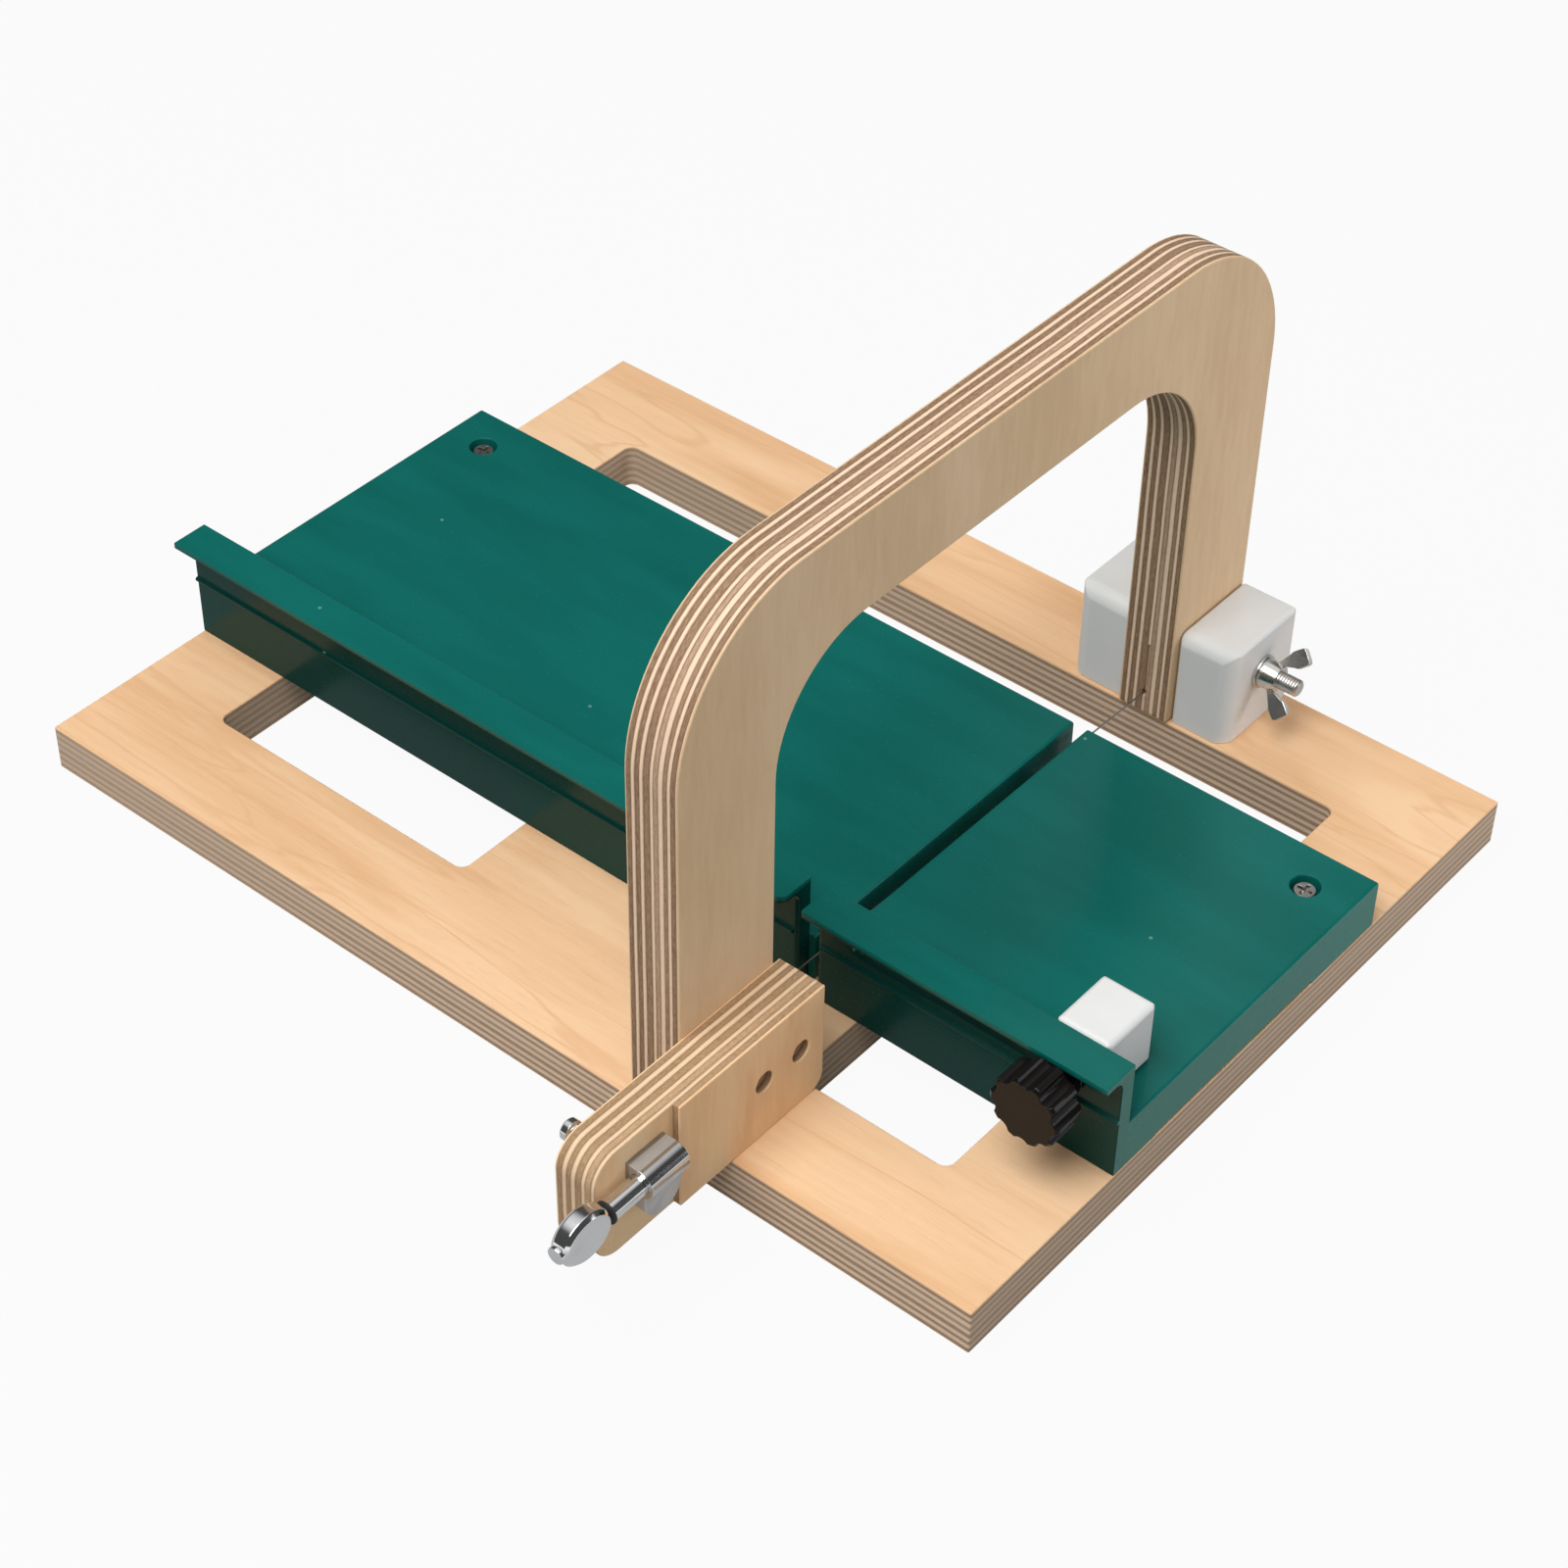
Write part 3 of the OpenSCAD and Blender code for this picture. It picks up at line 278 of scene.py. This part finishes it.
# Plywood: one look for each board, then what all three boards share. A scale is how many
# features a pattern has to the metre along X, Y and Z. The axis runs through the plies
baseLook = {
    "axis": 2, "start": 0.0, "thickness": 0.0145, "plies": 6, "veneer": 0.0007,
    "paleShare": 0.50, "blur": 0.16, "wave": 0.16, "uneven": (0.5, 330),
    "soft": (0.06, -0.16, 0.55), "softSide": 0.45, "softTone": (0.60, 0.45, 0.325),
    "waveScale": (26, 26, 26), "fibreScale": (700, 700, 4600), "streakScale": (70, 70, 2200),
    "grainScale": (16, 520, 520), "figureScale": (7, 34, 34), "poreScale": (90, 3400, 3400),
    "pale": (0.80, 0.61, 0.45), "brown": (0.56, 0.40, 0.28), "brownDark": (0.30, 0.19, 0.115),
    "faceLight": (0.93, 0.625, 0.375), "faceMid": (0.87, 0.55, 0.31),
    "faceDark": (0.78, 0.455, 0.235), "roughness": 0.52,
    "coreStreak": 0.55, "sheetShare": 0.40, "grainShare": 0.20, "pores": 0.12,
    "flame": 0.55, "flameScale": (5, 46, 46),
}
archLook = {
    "axis": 0, "start": 0.0565, "thickness": 0.016, "plies": 6, "veneer": 0.00075,
    "paleShare": 0.30, "blur": 0.14, "wave": 0.22, "uneven": (0.75, 300), "soft": None,
    "waveScale": (22, 22, 22), "fibreScale": (4600, 620, 620), "streakScale": (2300, 90, 90),
    "grainScale": (380, 380, 60), "figureScale": (16, 16, 7), "poreScale": (1500, 1500, 420),
    "pale": (0.94, 0.71, 0.51), "brown": (0.60, 0.405, 0.275), "brownDark": (0.22, 0.125, 0.065),
    "faceLight": (0.84, 0.615, 0.39), "faceMid": (0.79, 0.565, 0.345),
    "faceDark": (0.73, 0.51, 0.30), "roughness": 0.55,
    "coreStreak": 0.8, "sheetShare": 0.58, "grainShare": 0.34, "pores": 0.16, "flame": 0.0,
}
armLook = {
    "axis": 0, "start": 0.0725, "thickness": 0.0145, "plies": 5, "veneer": 0.0007,
    "paleShare": 0.30, "blur": 0.14, "wave": 0.20, "uneven": (0.55, 300), "soft": None,
    "waveScale": (40, 40, 40), "fibreScale": (4600, 760, 760), "streakScale": (2300, 120, 120),
    "grainScale": (300, 300, 40), "figureScale": (40, 40, 14), "poreScale": (1800, 1800, 380),
    "pale": (0.90, 0.665, 0.445), "brown": (0.64, 0.43, 0.255), "brownDark": (0.27, 0.155, 0.075),
    "faceLight": (0.98, 0.70, 0.415), "faceMid": (0.96, 0.645, 0.37),
    "faceDark": (0.89, 0.565, 0.305), "roughness": 0.55,
    "coreStreak": 0.7, "sheetShare": 0.40, "grainShare": 0.35, "pores": 0.18, "flame": 0.0,
}
plyNoise = {  # detail, roughness, distortion and shift of each pattern in the wood
    "wave": (2,), "fibre": (4, 0.7), "streak": (3, 0.6), "grain": (4, 0.6, 0.3),
    "figure": (3, 0.5, 0.8), "pore": (2, 0.5), "flame": (2, 0.4, 1.2, (0.3, 0.7, 0)),
}
plyRules = {
    "glueOffset": 0.20, "glueBand": (0.03, 0.20),  # a dark streak runs beside each pale ply
    "streakBand": (0.42, 0.62), "coreLow": 0.45, "coreHigh": 0.55,
    "brownBand": (0.34, 0.70), "brownShare": 0.55, "paleBand": (0.35, 0.75), "paleFibre": 0.35,
    "veneerFade": 0.6, "poreBand": (0.60, 0.72), "tones": (0.36, 0.48, 0.60),
    "flameBand": (0.0, 0.022), "paleRelief": 0.6, "edgeRoughness": 0.16, "grainRoughness": 0.06,
    "specular": 0.3, "bumpDepth": 0.00012, "bumpStrength": 0.45,
}


def plyPaint(name, look):
    paint = Paint(name)
    rules = plyRules

    def pattern(kind):
        return paint.noise(look[kind + "Scale"], *plyNoise[kind])

    spots = paint.split(paint.object())
    depth = spots[look["axis"]] - look["start"]
    share, pace = look["uneven"]  # how far and how often the plies differ in thickness
    uneven = paint.node("ShaderNodeTexNoise", {"noise_dimensions": "1D"}, {
        "W": depth * pace, "Scale": 1.0, "Detail": 1.0}, "Fac") - 0.5
    wave = pattern("wave") - 0.5
    ply = depth * (look["plies"] / look["thickness"]) + wave * look["wave"] + uneven * share
    fromCore = abs(ply.rest() - 0.5) * 2
    edge = 1 - look["paleShare"]
    nearGlue = 1 - paint.step(abs(fromCore - edge + rules["glueOffset"]), *rules["glueBand"])
    pale = paint.step(fromCore, edge - look["blur"], edge + look["blur"])
    fibre = pattern("fibre")
    streak = paint.step(pattern("streak"), *rules["streakBand"])
    core = nearGlue * (rules["coreLow"] + streak * rules["coreHigh"]) * look["coreStreak"]
    sheet = paint.node("ShaderNodeTexWhiteNoise", {"noise_dimensions": "1D"}, {
        "W": ply.whole() + 0.5})
    dark = paint.step(fibre, *rules["brownBand"]) * rules["brownShare"] + sheet * look["sheetShare"]
    brown = paint.mix(dark, look["brown"], look["brownDark"])
    brown = paint.mix(core, brown, look["brownDark"])
    fine = paint.step(fibre, *rules["paleBand"]) * rules["paleFibre"]
    cream = paint.mix(fine, look["pale"], look["brown"])
    edges = paint.mix(pale, brown, cream)
    if look["soft"]:
        crisp, hazy, amount = look["soft"]  # the contrast fades between two places along X
        fade = paint.step(-1 * spots[0], -crisp, -hazy) * amount
        side = paint.facing(0) * look["softSide"]
        edges = paint.mix(fade.most(side), edges, look["softTone"])
    fromFace = depth.least(look["thickness"] - depth)
    inside = paint.step(fromFace, look["veneer"] * rules["veneerFade"], look["veneer"])
    face = (1 - inside).most(paint.facing(look["axis"]))
    grain, figure = pattern("grain"), pattern("figure")
    pores = paint.step(pattern("pore"), *rules["poreBand"])
    tone = grain * look["grainShare"] + figure * (1 - look["grainShare"])
    shades = [look["faceDark"], look["faceMid"], look["faceLight"]]
    veneer = paint.node("ShaderNodeValToRGB", {"stops": list(zip(rules["tones"], shades))}, {
        "Fac": tone})
    veneer = paint.mix(pores * look["pores"], veneer, look["faceDark"])
    if look["flame"]:
        ring = paint.step(abs(pattern("flame") - 0.5), *rules["flameBand"])
        veneer = paint.mix((1 - ring) * look["flame"], veneer, look["faceDark"])
    height = (grain - pores) * face + (pale * rules["paleRelief"] + fibre) * (1 - face)
    rough = look["roughness"] + (1 - face) * rules["edgeRoughness"]
    return paint.surface(
        Base_Color=paint.mix(face, edges, veneer),
        Roughness=rough + grain * rules["grainRoughness"], Specular_IOR_Level=rules["specular"],
        Normal=paint.bump(height, rules["bumpDepth"], rules["bumpStrength"]))


# Green trays: sawn ends, a painted shade on the front under the lip, faint flow lines and a little
# dust
trayLook = {
    "green": (0.004, 0.140, 0.119), "deep": (0.003, 0.118, 0.100), "sawn": (0.10, 0.28, 0.235),
    "shade": (0.001, 0.034, 0.027), "dust": (0.13, 0.31, 0.27),
    "flowScale": (14, 60, 60), "toolScale": (40, 1400, 1400), "speckScale": (900, 900, 900),
    "dustScale": (12.5, 12.5, 12.5), "dustSize": (0.004, 0.008),
    "flowBand": (0.3, 0.7), "speckBand": (0.62, 0.72),
    "ends": (0.155, 0.159), "front": (-0.0572, -0.0568), "lip": (0.0482, 0.0490),  # in metres
    "underLipShadeShare": 0.9, "sawnShare": 0.6, "sawnTool": 0.5,
    "roughness": 0.20, "flowRoughness": 0.05, "speckRoughness": 0.08, "sawnRoughness": 0.3,
    "speckRelief": 0.3, "specular": 0.14, "bumpDepth": 0.00003, "bumpStrength": 0.25,
}


def trayPaint():
    look = trayLook
    paint = Paint("greenPlastic")
    flow = paint.noise(look["flowScale"], 3)
    tool = paint.noise(look["toolScale"], 2)
    speck = paint.step(paint.noise(look["speckScale"], 2), *look["speckBand"])
    across, back, up = paint.split(paint.object())
    sawn = paint.facing(0) * paint.step(abs(across), *look["ends"])
    # Painted shade: the fence front below the lip is mixed towards the dark shade colour, standing
    # in for the lip's shadow
    front = (1 - paint.step(back, *look["front"])) * (1 - paint.step(up, *look["lip"]))
    green = paint.mix(paint.step(flow, *look["flowBand"]), look["deep"], look["green"])
    green = paint.mix(front * look["underLipShadeShare"], green, look["shade"])
    fleck = paint.node("ShaderNodeTexVoronoi", {"voronoi_dimensions": "2D"}, {
        "Vector": paint.scaled(look["dustScale"]), "Scale": 1.0}, "Distance")
    dust = (1 - paint.step(fleck, *look["dustSize"])) * paint.facing(2)
    green = paint.mix(dust, green, look["dust"])
    cut = sawn * (look["sawnShare"] + tool * look["sawnTool"])
    rough = look["roughness"] + flow * look["flowRoughness"] + speck * look["speckRoughness"]
    height = tool + speck * look["speckRelief"]
    return paint.surface(
        Base_Color=paint.mix(cut, green, look["sawn"]),
        Roughness=rough + sawn * look["sawnRoughness"], Specular_IOR_Level=look["specular"],
        Normal=paint.bump(height, look["bumpDepth"], look["bumpStrength"]))


# White and black plastics: a faint cloud of a second colour and a fine grain
plasticLook = {
    "cloudScale": (45, 45, 45), "cloudBand": (0.3, 0.7), "cloudRoughness": 0.06,
    "grainRoughness": 0.04, "bumpDepth": 0.00004, "bumpStrength": 0.3,
}


def plasticPaint(name, colour, second, roughness, specular, grit=700):
    look = plasticLook
    paint = Paint(name)
    cloud = paint.noise(look["cloudScale"], 3)
    grain = paint.noise((grit, grit, grit), 3)
    rough = roughness + cloud * look["cloudRoughness"] + grain * look["grainRoughness"]
    return paint.surface(
        Base_Color=paint.mix(paint.step(cloud, *look["cloudBand"]), colour, second),
        Roughness=rough, Specular_IOR_Level=specular,
        Normal=paint.bump(grain, look["bumpDepth"], look["bumpStrength"]))


# Metals: clouds of a duller colour and a fine grain
metalLook = {
    "cloudScale": (160, 160, 160), "cloudBand": (0.35, 0.75), "cloudShare": 0.6, "fineShare": 0.2,
    "cloudRoughness": 0.07, "fineRoughness": 0.05, "bumpDepth": 0.00003, "bumpStrength": 0.35,
}


def metalPaint(name, colour, dull, roughness, grit=900, extra=None, relief=0.5):
    look = metalLook
    paint = Paint(name)
    cloud = paint.noise(look["cloudScale"], 3)
    fine = paint.noise((grit, grit, grit), 3, 0.6)
    tarnish = paint.step(cloud, *look["cloudBand"])
    rough = roughness + tarnish * look["cloudRoughness"] + fine * look["fineRoughness"]
    height = fine * relief
    if extra:
        rough, height = extra(paint, rough, height)
    duller = tarnish * look["cloudShare"] + fine * look["fineShare"]
    return paint.surface(
        Base_Color=paint.mix(duller, colour, dull), Metallic=1.0, Roughness=rough,
        Normal=paint.bump(height, look["bumpDepth"], look["bumpStrength"]))


# The pivot bolt's thread, from a place along X to its right end
boltThread = {"pitch": 0.0008, "from": 0.0900, "runOut": 0.0004, "deep": 8.0, "roughness": 0.08}


def threadedEnd(paint, rough, height):
    across = paint.split(paint.object())[0]
    ridge = abs((across / boltThread["pitch"]).rest() - 0.5) * 2
    cut = paint.step(across, boltThread["from"], boltThread["from"] + boltThread["runOut"])
    return rough + cut * boltThread["roughness"], height + ridge * cut * boltThread["deep"]


# The tuner's cover: the outer half of its barrel is polished, and the rest is cast and matt
coverLook = {
    "barrel": (0.0891, 0.03815), "reach": (0.00445, 0.00470), "inner": (-0.0002, 0.0002),
    "polish": 0.34, "cast": 3.2,
}


def coverShine(paint, rough, height):
    spots = paint.split(paint.object())
    aside, above = spots[0] - coverLook["barrel"][0], spots[2] - coverLook["barrel"][1]
    beyond = paint.step((aside * aside + above * above) ** 0.5, *coverLook["reach"])
    cast = beyond.most(1 - paint.step(aside, *coverLook["inner"]))
    return rough - (1 - cast) * coverLook["polish"], height * cast * coverLook["cast"]


# A plastic's colour, second colour, roughness and specular; a metal's colour, duller colour
# and roughness
paints = {
    "basePly": plyPaint("basePly", baseLook),
    "archPly": plyPaint("archPly", archLook),
    "armPly": plyPaint("armPly", armLook),
    "green": trayPaint(),
    "white": plasticPaint("whitePlastic", (0.80, 0.81, 0.80), (0.76, 0.77, 0.76), 0.34, 0.4),
    "black": plasticPaint("blackPlastic", (0.006, 0.0055, 0.005), (0.009, 0.008, 0.0075),
                          0.12, 0.15, grit=1600),
    "rubber": plasticPaint("blackWasher", (0.02, 0.02, 0.02), (0.03, 0.03, 0.03), 0.5, 0.3),
    "steel": metalPaint("dullSteel", (0.42, 0.41, 0.39), (0.26, 0.25, 0.235), 0.30),
    "nickel": metalPaint("nickelPlate", (0.70, 0.69, 0.66), (0.56, 0.55, 0.52), 0.20),
    "bolt": metalPaint("boltNickel", (0.66, 0.65, 0.62), (0.50, 0.49, 0.46), 0.22,
                       extra=threadedEnd),
    "chrome": metalPaint("chromePlate", (0.80, 0.81, 0.82), (0.70, 0.71, 0.73), 0.06, relief=0.06),
    "cover": metalPaint("coverNickel", (0.62, 0.62, 0.62), (0.46, 0.46, 0.46), 0.44,
                        grit=2600, extra=coverShine),
    "brass": metalPaint("brass", (0.72, 0.52, 0.20), (0.55, 0.38, 0.14), 0.28),
    "wire": metalPaint("springWire", (0.40, 0.40, 0.40), (0.30, 0.30, 0.30), 0.25),
}
print("paints mixed")

# Soft edges: each piece stands for its CAD node, with its edges eased and its curves smooth
softParts = {
    # node: piece, easing in mm, rows, paint, slot
    "base_board": ("baseBoard", 0.45, 3, "basePly", "plywood"),
    "arch_bow": ("archBow", 0.5, 3, "archPly", "plywood"),
    "tension_arm": ("tensionArm", 0.4, 3, "armPly", "plywood"),
    "left_tray": ("leftTray", 0.35, 3, "green", "green_plastic"),
    "right_tray": ("rightTray", 0.35, 3, "green", "green_plastic"),
    "left_pivot_block": ("leftPivotBlock", 0.4, 3, "white", "white_plastic"),
    "right_pivot_block": ("rightPivotBlock", 0.4, 3, "white", "white_plastic"),
    "stop_block": ("stopBlock", 0.4, 3, "white", "white_plastic"),
    "clamp_knob": ("clampKnob", 0.2, 3, "black", "black_plastic"),
    "wing_nut": ("wingNut", 0.25, 3, "nickel", "zinc_steel"),
    "wing_washer": ("wingWasher", 0.15, 2, "nickel", "zinc_steel"),
    "pivot_bolt": ("pivotBolt", 0.05, 2, "bolt", "zinc_steel"),
    "stop_washer": ("stopWasher", 0.15, 2, "nickel", "zinc_steel"),
    "stop_stud": ("stopStud", 0.1, 2, "steel", "zinc_steel"),
    "knob_insert": ("knobInsert", 0.1, 2, "brass", "brass"),
    "tray_top_screws": ("trayTopScrews", 0.15, 2, "steel", "zinc_steel"),
    "tray_under_screws": ("trayUnderScrews", 0.1, 2, "steel", "zinc_steel"),
    "block_screws": ("blockScrews", 0.1, 2, "steel", "zinc_steel"),
    "arm_screws": ("armScrews", 0.15, 2, "steel", "zinc_steel"),
    "tuner_cover": ("tunerCover", 0.15, 3, "cover", "chrome"),
    "tuner_base_plate": ("tunerBasePlate", 0.1, 2, "steel", "chrome"),
    "tuner_bush": ("tunerBush", 0.06, 2, "nickel", "chrome"),
    "bush_washer": ("bushWasher", 0.1, 2, "nickel", "chrome"),
    "string_post": ("stringPost", 0.05, 2, "chrome", "chrome"),
    "worm_gear": ("wormGear", 0.03, 1, "brass", "brass"),
    "gear_screw": ("gearScrew", 0.06, 1, "steel", "chrome"),
    "button_washer": ("buttonWasher", 0.1, 2, "rubber", "black_plastic"),
    "button_screw": ("buttonScrew", 0.08, 2, "nickel", "chrome"),
    "wire_ferrule": ("wireFerrule", 0.1, 2, "brass", "brass"),
    "worm_shaft": ("wormShaft", 0.0, 0, "chrome", "chrome"),
    "cutting_wire": ("cuttingWire", 0.0, 0, "wire", "spring_steel"),
}
softRules = {"merge": 0.002, "flat": 0.5, "corner": 28, "smooth": 34}  # mm, then degrees
spared = {  # boxes in which small curves keep the CAD's own edges: lowest and highest corner
    "leftTray": [((0.0585, -0.0700, 0.0400), (0.0610, -0.0590, 0.0520))],
    "rightTray": [((0.0660, -0.0700, 0.0400), (0.0685, -0.0590, 0.0520))],
    "archBow": [((0.0625, 0.0838, 0.0215), (0.0668, 0.0906, 0.0405)),
                ((0.0615, 0.1165, 0.0225), (0.0675, 0.1180, 0.0300))],
    "wingNut": [((0.0955, 0.0970, 0.0280), (0.0975, 0.1070, 0.0385))],
}
carried = frame["record"]["behaviour"]["bodies"]
bodyOf = {node: body for body, held in carried.items() for node in held}


def choose(piece):
    bpy.ops.object.select_all(action="DESELECT")
    piece.select_set(True)
    bpy.context.view_layer.objects.active = piece


def modifier(piece, kind, **settings):
    added = piece.modifiers.new(kind.lower(), kind)
    for name, value in settings.items():
        setattr(added, name, value)
    bpy.ops.object.modifier_apply(modifier=added.name)


def within(box, point):
    low, high = box
    return all(low[i] < point[i] < high[i] for i in range(3))


def markEdges(piece, corner):
    form = bmesh.new()
    form.from_mesh(piece.data)
    layers, layer = form.edges.layers.float, "bevel_weight_edge"
    weight = layers.get(layer) or layers.new(layer)
    boxes = spared.get(piece.name, [])
    for edge in form.edges:
        held = any(all(within(box, vert.co) for vert in edge.verts) for box in boxes)
        sharp = len(edge.link_faces) == 2 and edge.calc_face_angle() > math.radians(corner)
        edge[weight] = 1.0 if sharp and not held else 0.0
    form.to_mesh(piece.data)
    form.free()


def easeEdges(piece, width, rows, corner):
    choose(piece)
    if rows:
        markEdges(piece, corner)
        modifier(piece, "BEVEL", width=width * mm, segments=rows, limit_method="WEIGHT",
                 use_clamp_overlap=False, loop_slide=False)
    bpy.ops.object.shade_smooth_by_angle(angle=math.radians(softRules["smooth"]))
    modifier(piece, "WEIGHTED_NORMAL", keep_sharp=True)


def give(piece, paint, slot, body, *stoodFor):
    piece.data.materials.clear()
    piece.data.materials.append(paints[paint])
    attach(piece, body)
    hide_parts(*stoodFor)


# The nut's wings end square with soft corners. The bolt's axis and the wings' direction are
# given along Y and Z, and an end's radius from the bolt and height from the foot in mm
wingLook = {
    "axis": (0.102, 0.033), "radial": (0.57358, 0.81915), "tip": (7.8, 8.3), "round": 3.2,
    "ahead": (0.682, 0.731), "long": 2.4, "half": 2.5, "square": 5.0, "near": 0.05,
}


def squareWings(piece, foot):
    ahead, tip = Vector(wingLook["ahead"]).normalized(), Vector(wingLook["tip"])
    across = Vector((-ahead.y, ahead.x))
    y, z = wingLook["axis"]
    back, up = wingLook["radial"]
    for vert in piece.data.vertices:
        side = (vert.co.y - y) * back + (vert.co.z - z) * up
        out = Vector((abs(side), vert.co.x - foot)) / mm - tip
        if abs(out.length - wingLook["round"]) < wingLook["near"]:
            place = tip.copy()
            for line, reach in ((ahead, wingLook["long"]), (across, wingLook["half"])):
                share = out.dot(line) / wingLook["round"]
                squared = abs(share) ** (2 / wingLook["square"])
                place += line * math.copysign(reach * squared, share)
            moved = math.copysign(place.x * mm, side) - side
            vert.co = (foot + place.y * mm, vert.co.y + moved * back, vert.co.z + moved * up)


def softCopy(node):
    name, width, rows, paint, slot = softParts[node]
    piece = bpy.data.objects.new(name, nodes[node].data.copy())
    bpy.context.collection.objects.link(piece)
    choose(piece)
    bpy.ops.mesh.customdata_custom_splitnormals_clear()
    bpy.ops.object.mode_set(mode="EDIT")
    bpy.ops.mesh.select_all(action="SELECT")
    bpy.ops.mesh.remove_doubles(threshold=softRules["merge"] * mm)
    bpy.ops.mesh.dissolve_limited(angle_limit=math.radians(softRules["flat"]))
    bpy.ops.object.mode_set(mode="OBJECT")
    if node == "wing_nut":
        squareWings(piece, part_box(node)[0][0])
    easeEdges(piece, width, rows, softRules["corner"])
    give(piece, paint, slot, bodyOf[node], node)


for node in softParts:
    softCopy(node)
print("nodes softened")

# The button that turns the worm: an oval pad with a facet round each face, and a round boss
# at its tip and at its neck. Places are in metres and sizes in mm
button = {
    "centre": (0.0891, -0.1731, 0.03815), "length": 16.5, "height": 14.0, "thick": 5.5,
    "facet": 1.1, "easing": 0.22, "rows": 3, "corner": 20, "flatFace": 0.9, "sides": 96,
}
boss = {
    "radius": 2.4, "core": 1.62, "rim": 0.35, "shoulder": 0.3, "sides": 48, "smooth": 40,
    "ends": {"buttonTip": (-0.18195, -0.1790), "buttonNeck": (-0.1672, -0.16485)},
}


def turned(name, start, rings, sides):  # rings along Y: distance and radius in mm
    x, y, z = start
    distance, radius = rings[0]
    bpy.ops.object.select_all(action="DESELECT")
    bpy.ops.mesh.primitive_circle_add(
        vertices=sides, radius=radius * mm, fill_type="NGON",
        location=(x, y + distance * mm, z), rotation=(math.pi / 2, 0, 0))
    piece = bpy.context.object
    piece.name = name
    bpy.ops.object.transform_apply(location=True, rotation=True, scale=True)
    bpy.ops.object.mode_set(mode="EDIT")
    bpy.ops.mesh.select_all(action="SELECT")
    for (last, wide), (now, narrow) in zip(rings, rings[1:]):
        step = (0, (now - last) * mm, 0)
        bpy.ops.mesh.extrude_region_move(TRANSFORM_OT_translate={"value": step})
        share = narrow / wide
        bpy.ops.transform.resize(value=(share, 1, share), center_override=(x, y + now * mm, z))
    bpy.ops.mesh.select_all(action="SELECT")
    bpy.ops.mesh.normals_make_consistent(inside=False)
    bpy.ops.object.mode_set(mode="OBJECT")
    return piece


def buttonPad():
    bpy.ops.object.select_all(action="DESELECT")
    bpy.ops.mesh.primitive_cylinder_add(
        vertices=button["sides"], radius=0.5, depth=1,
        location=button["centre"], rotation=(0, math.pi / 2, 0))
    pad = bpy.context.object
    pad.name = "tunerButton"
    pad.scale = (button["height"] * mm, button["length"] * mm, button["thick"] * mm)
    bpy.ops.object.transform_apply(location=True, rotation=True, scale=True)
    bpy.ops.object.mode_set(mode="EDIT")
    bpy.ops.mesh.select_mode(type="FACE")
    bpy.ops.mesh.select_all(action="DESELECT")
    bpy.ops.object.mode_set(mode="OBJECT")
    for face in pad.data.polygons:
        face.select = abs(face.normal.x) > button["flatFace"]
    bpy.ops.object.mode_set(mode="EDIT")
    bpy.ops.mesh.bevel(offset=button["facet"] * mm, segments=1, affect="EDGES",
                       clamp_overlap=False)
    bpy.ops.object.mode_set(mode="OBJECT")
    easeEdges(pad, button["easing"], button["rows"], button["corner"])
    return pad


def buttonBoss(name, front, back):
    x, _, z = button["centre"]
    radius, rim = boss["radius"], boss["rim"]
    soft, long = rim * boss["shoulder"], (back - front) / mm
    rings = [(0, boss["core"]), (0, radius - rim), (soft, radius - soft), (rim, radius),
             (long - rim, radius), (long - soft, radius - soft), (long, radius - rim)]
    piece = turned(name, (x, front, z), rings, boss["sides"])
    choose(piece)
    bpy.ops.object.shade_smooth_by_angle(angle=math.radians(boss["smooth"]))
    return piece


def tunerButton():
    pad = buttonPad()
    bosses = [buttonBoss(name, *ends) for name, ends in boss["ends"].items()]
    choose(pad)
    for piece in bosses:
        piece.select_set(True)
    bpy.ops.object.join()
    give(pad, "chrome", "chrome", "button", "tuner_button")


tunerButton()
print("button modelled")
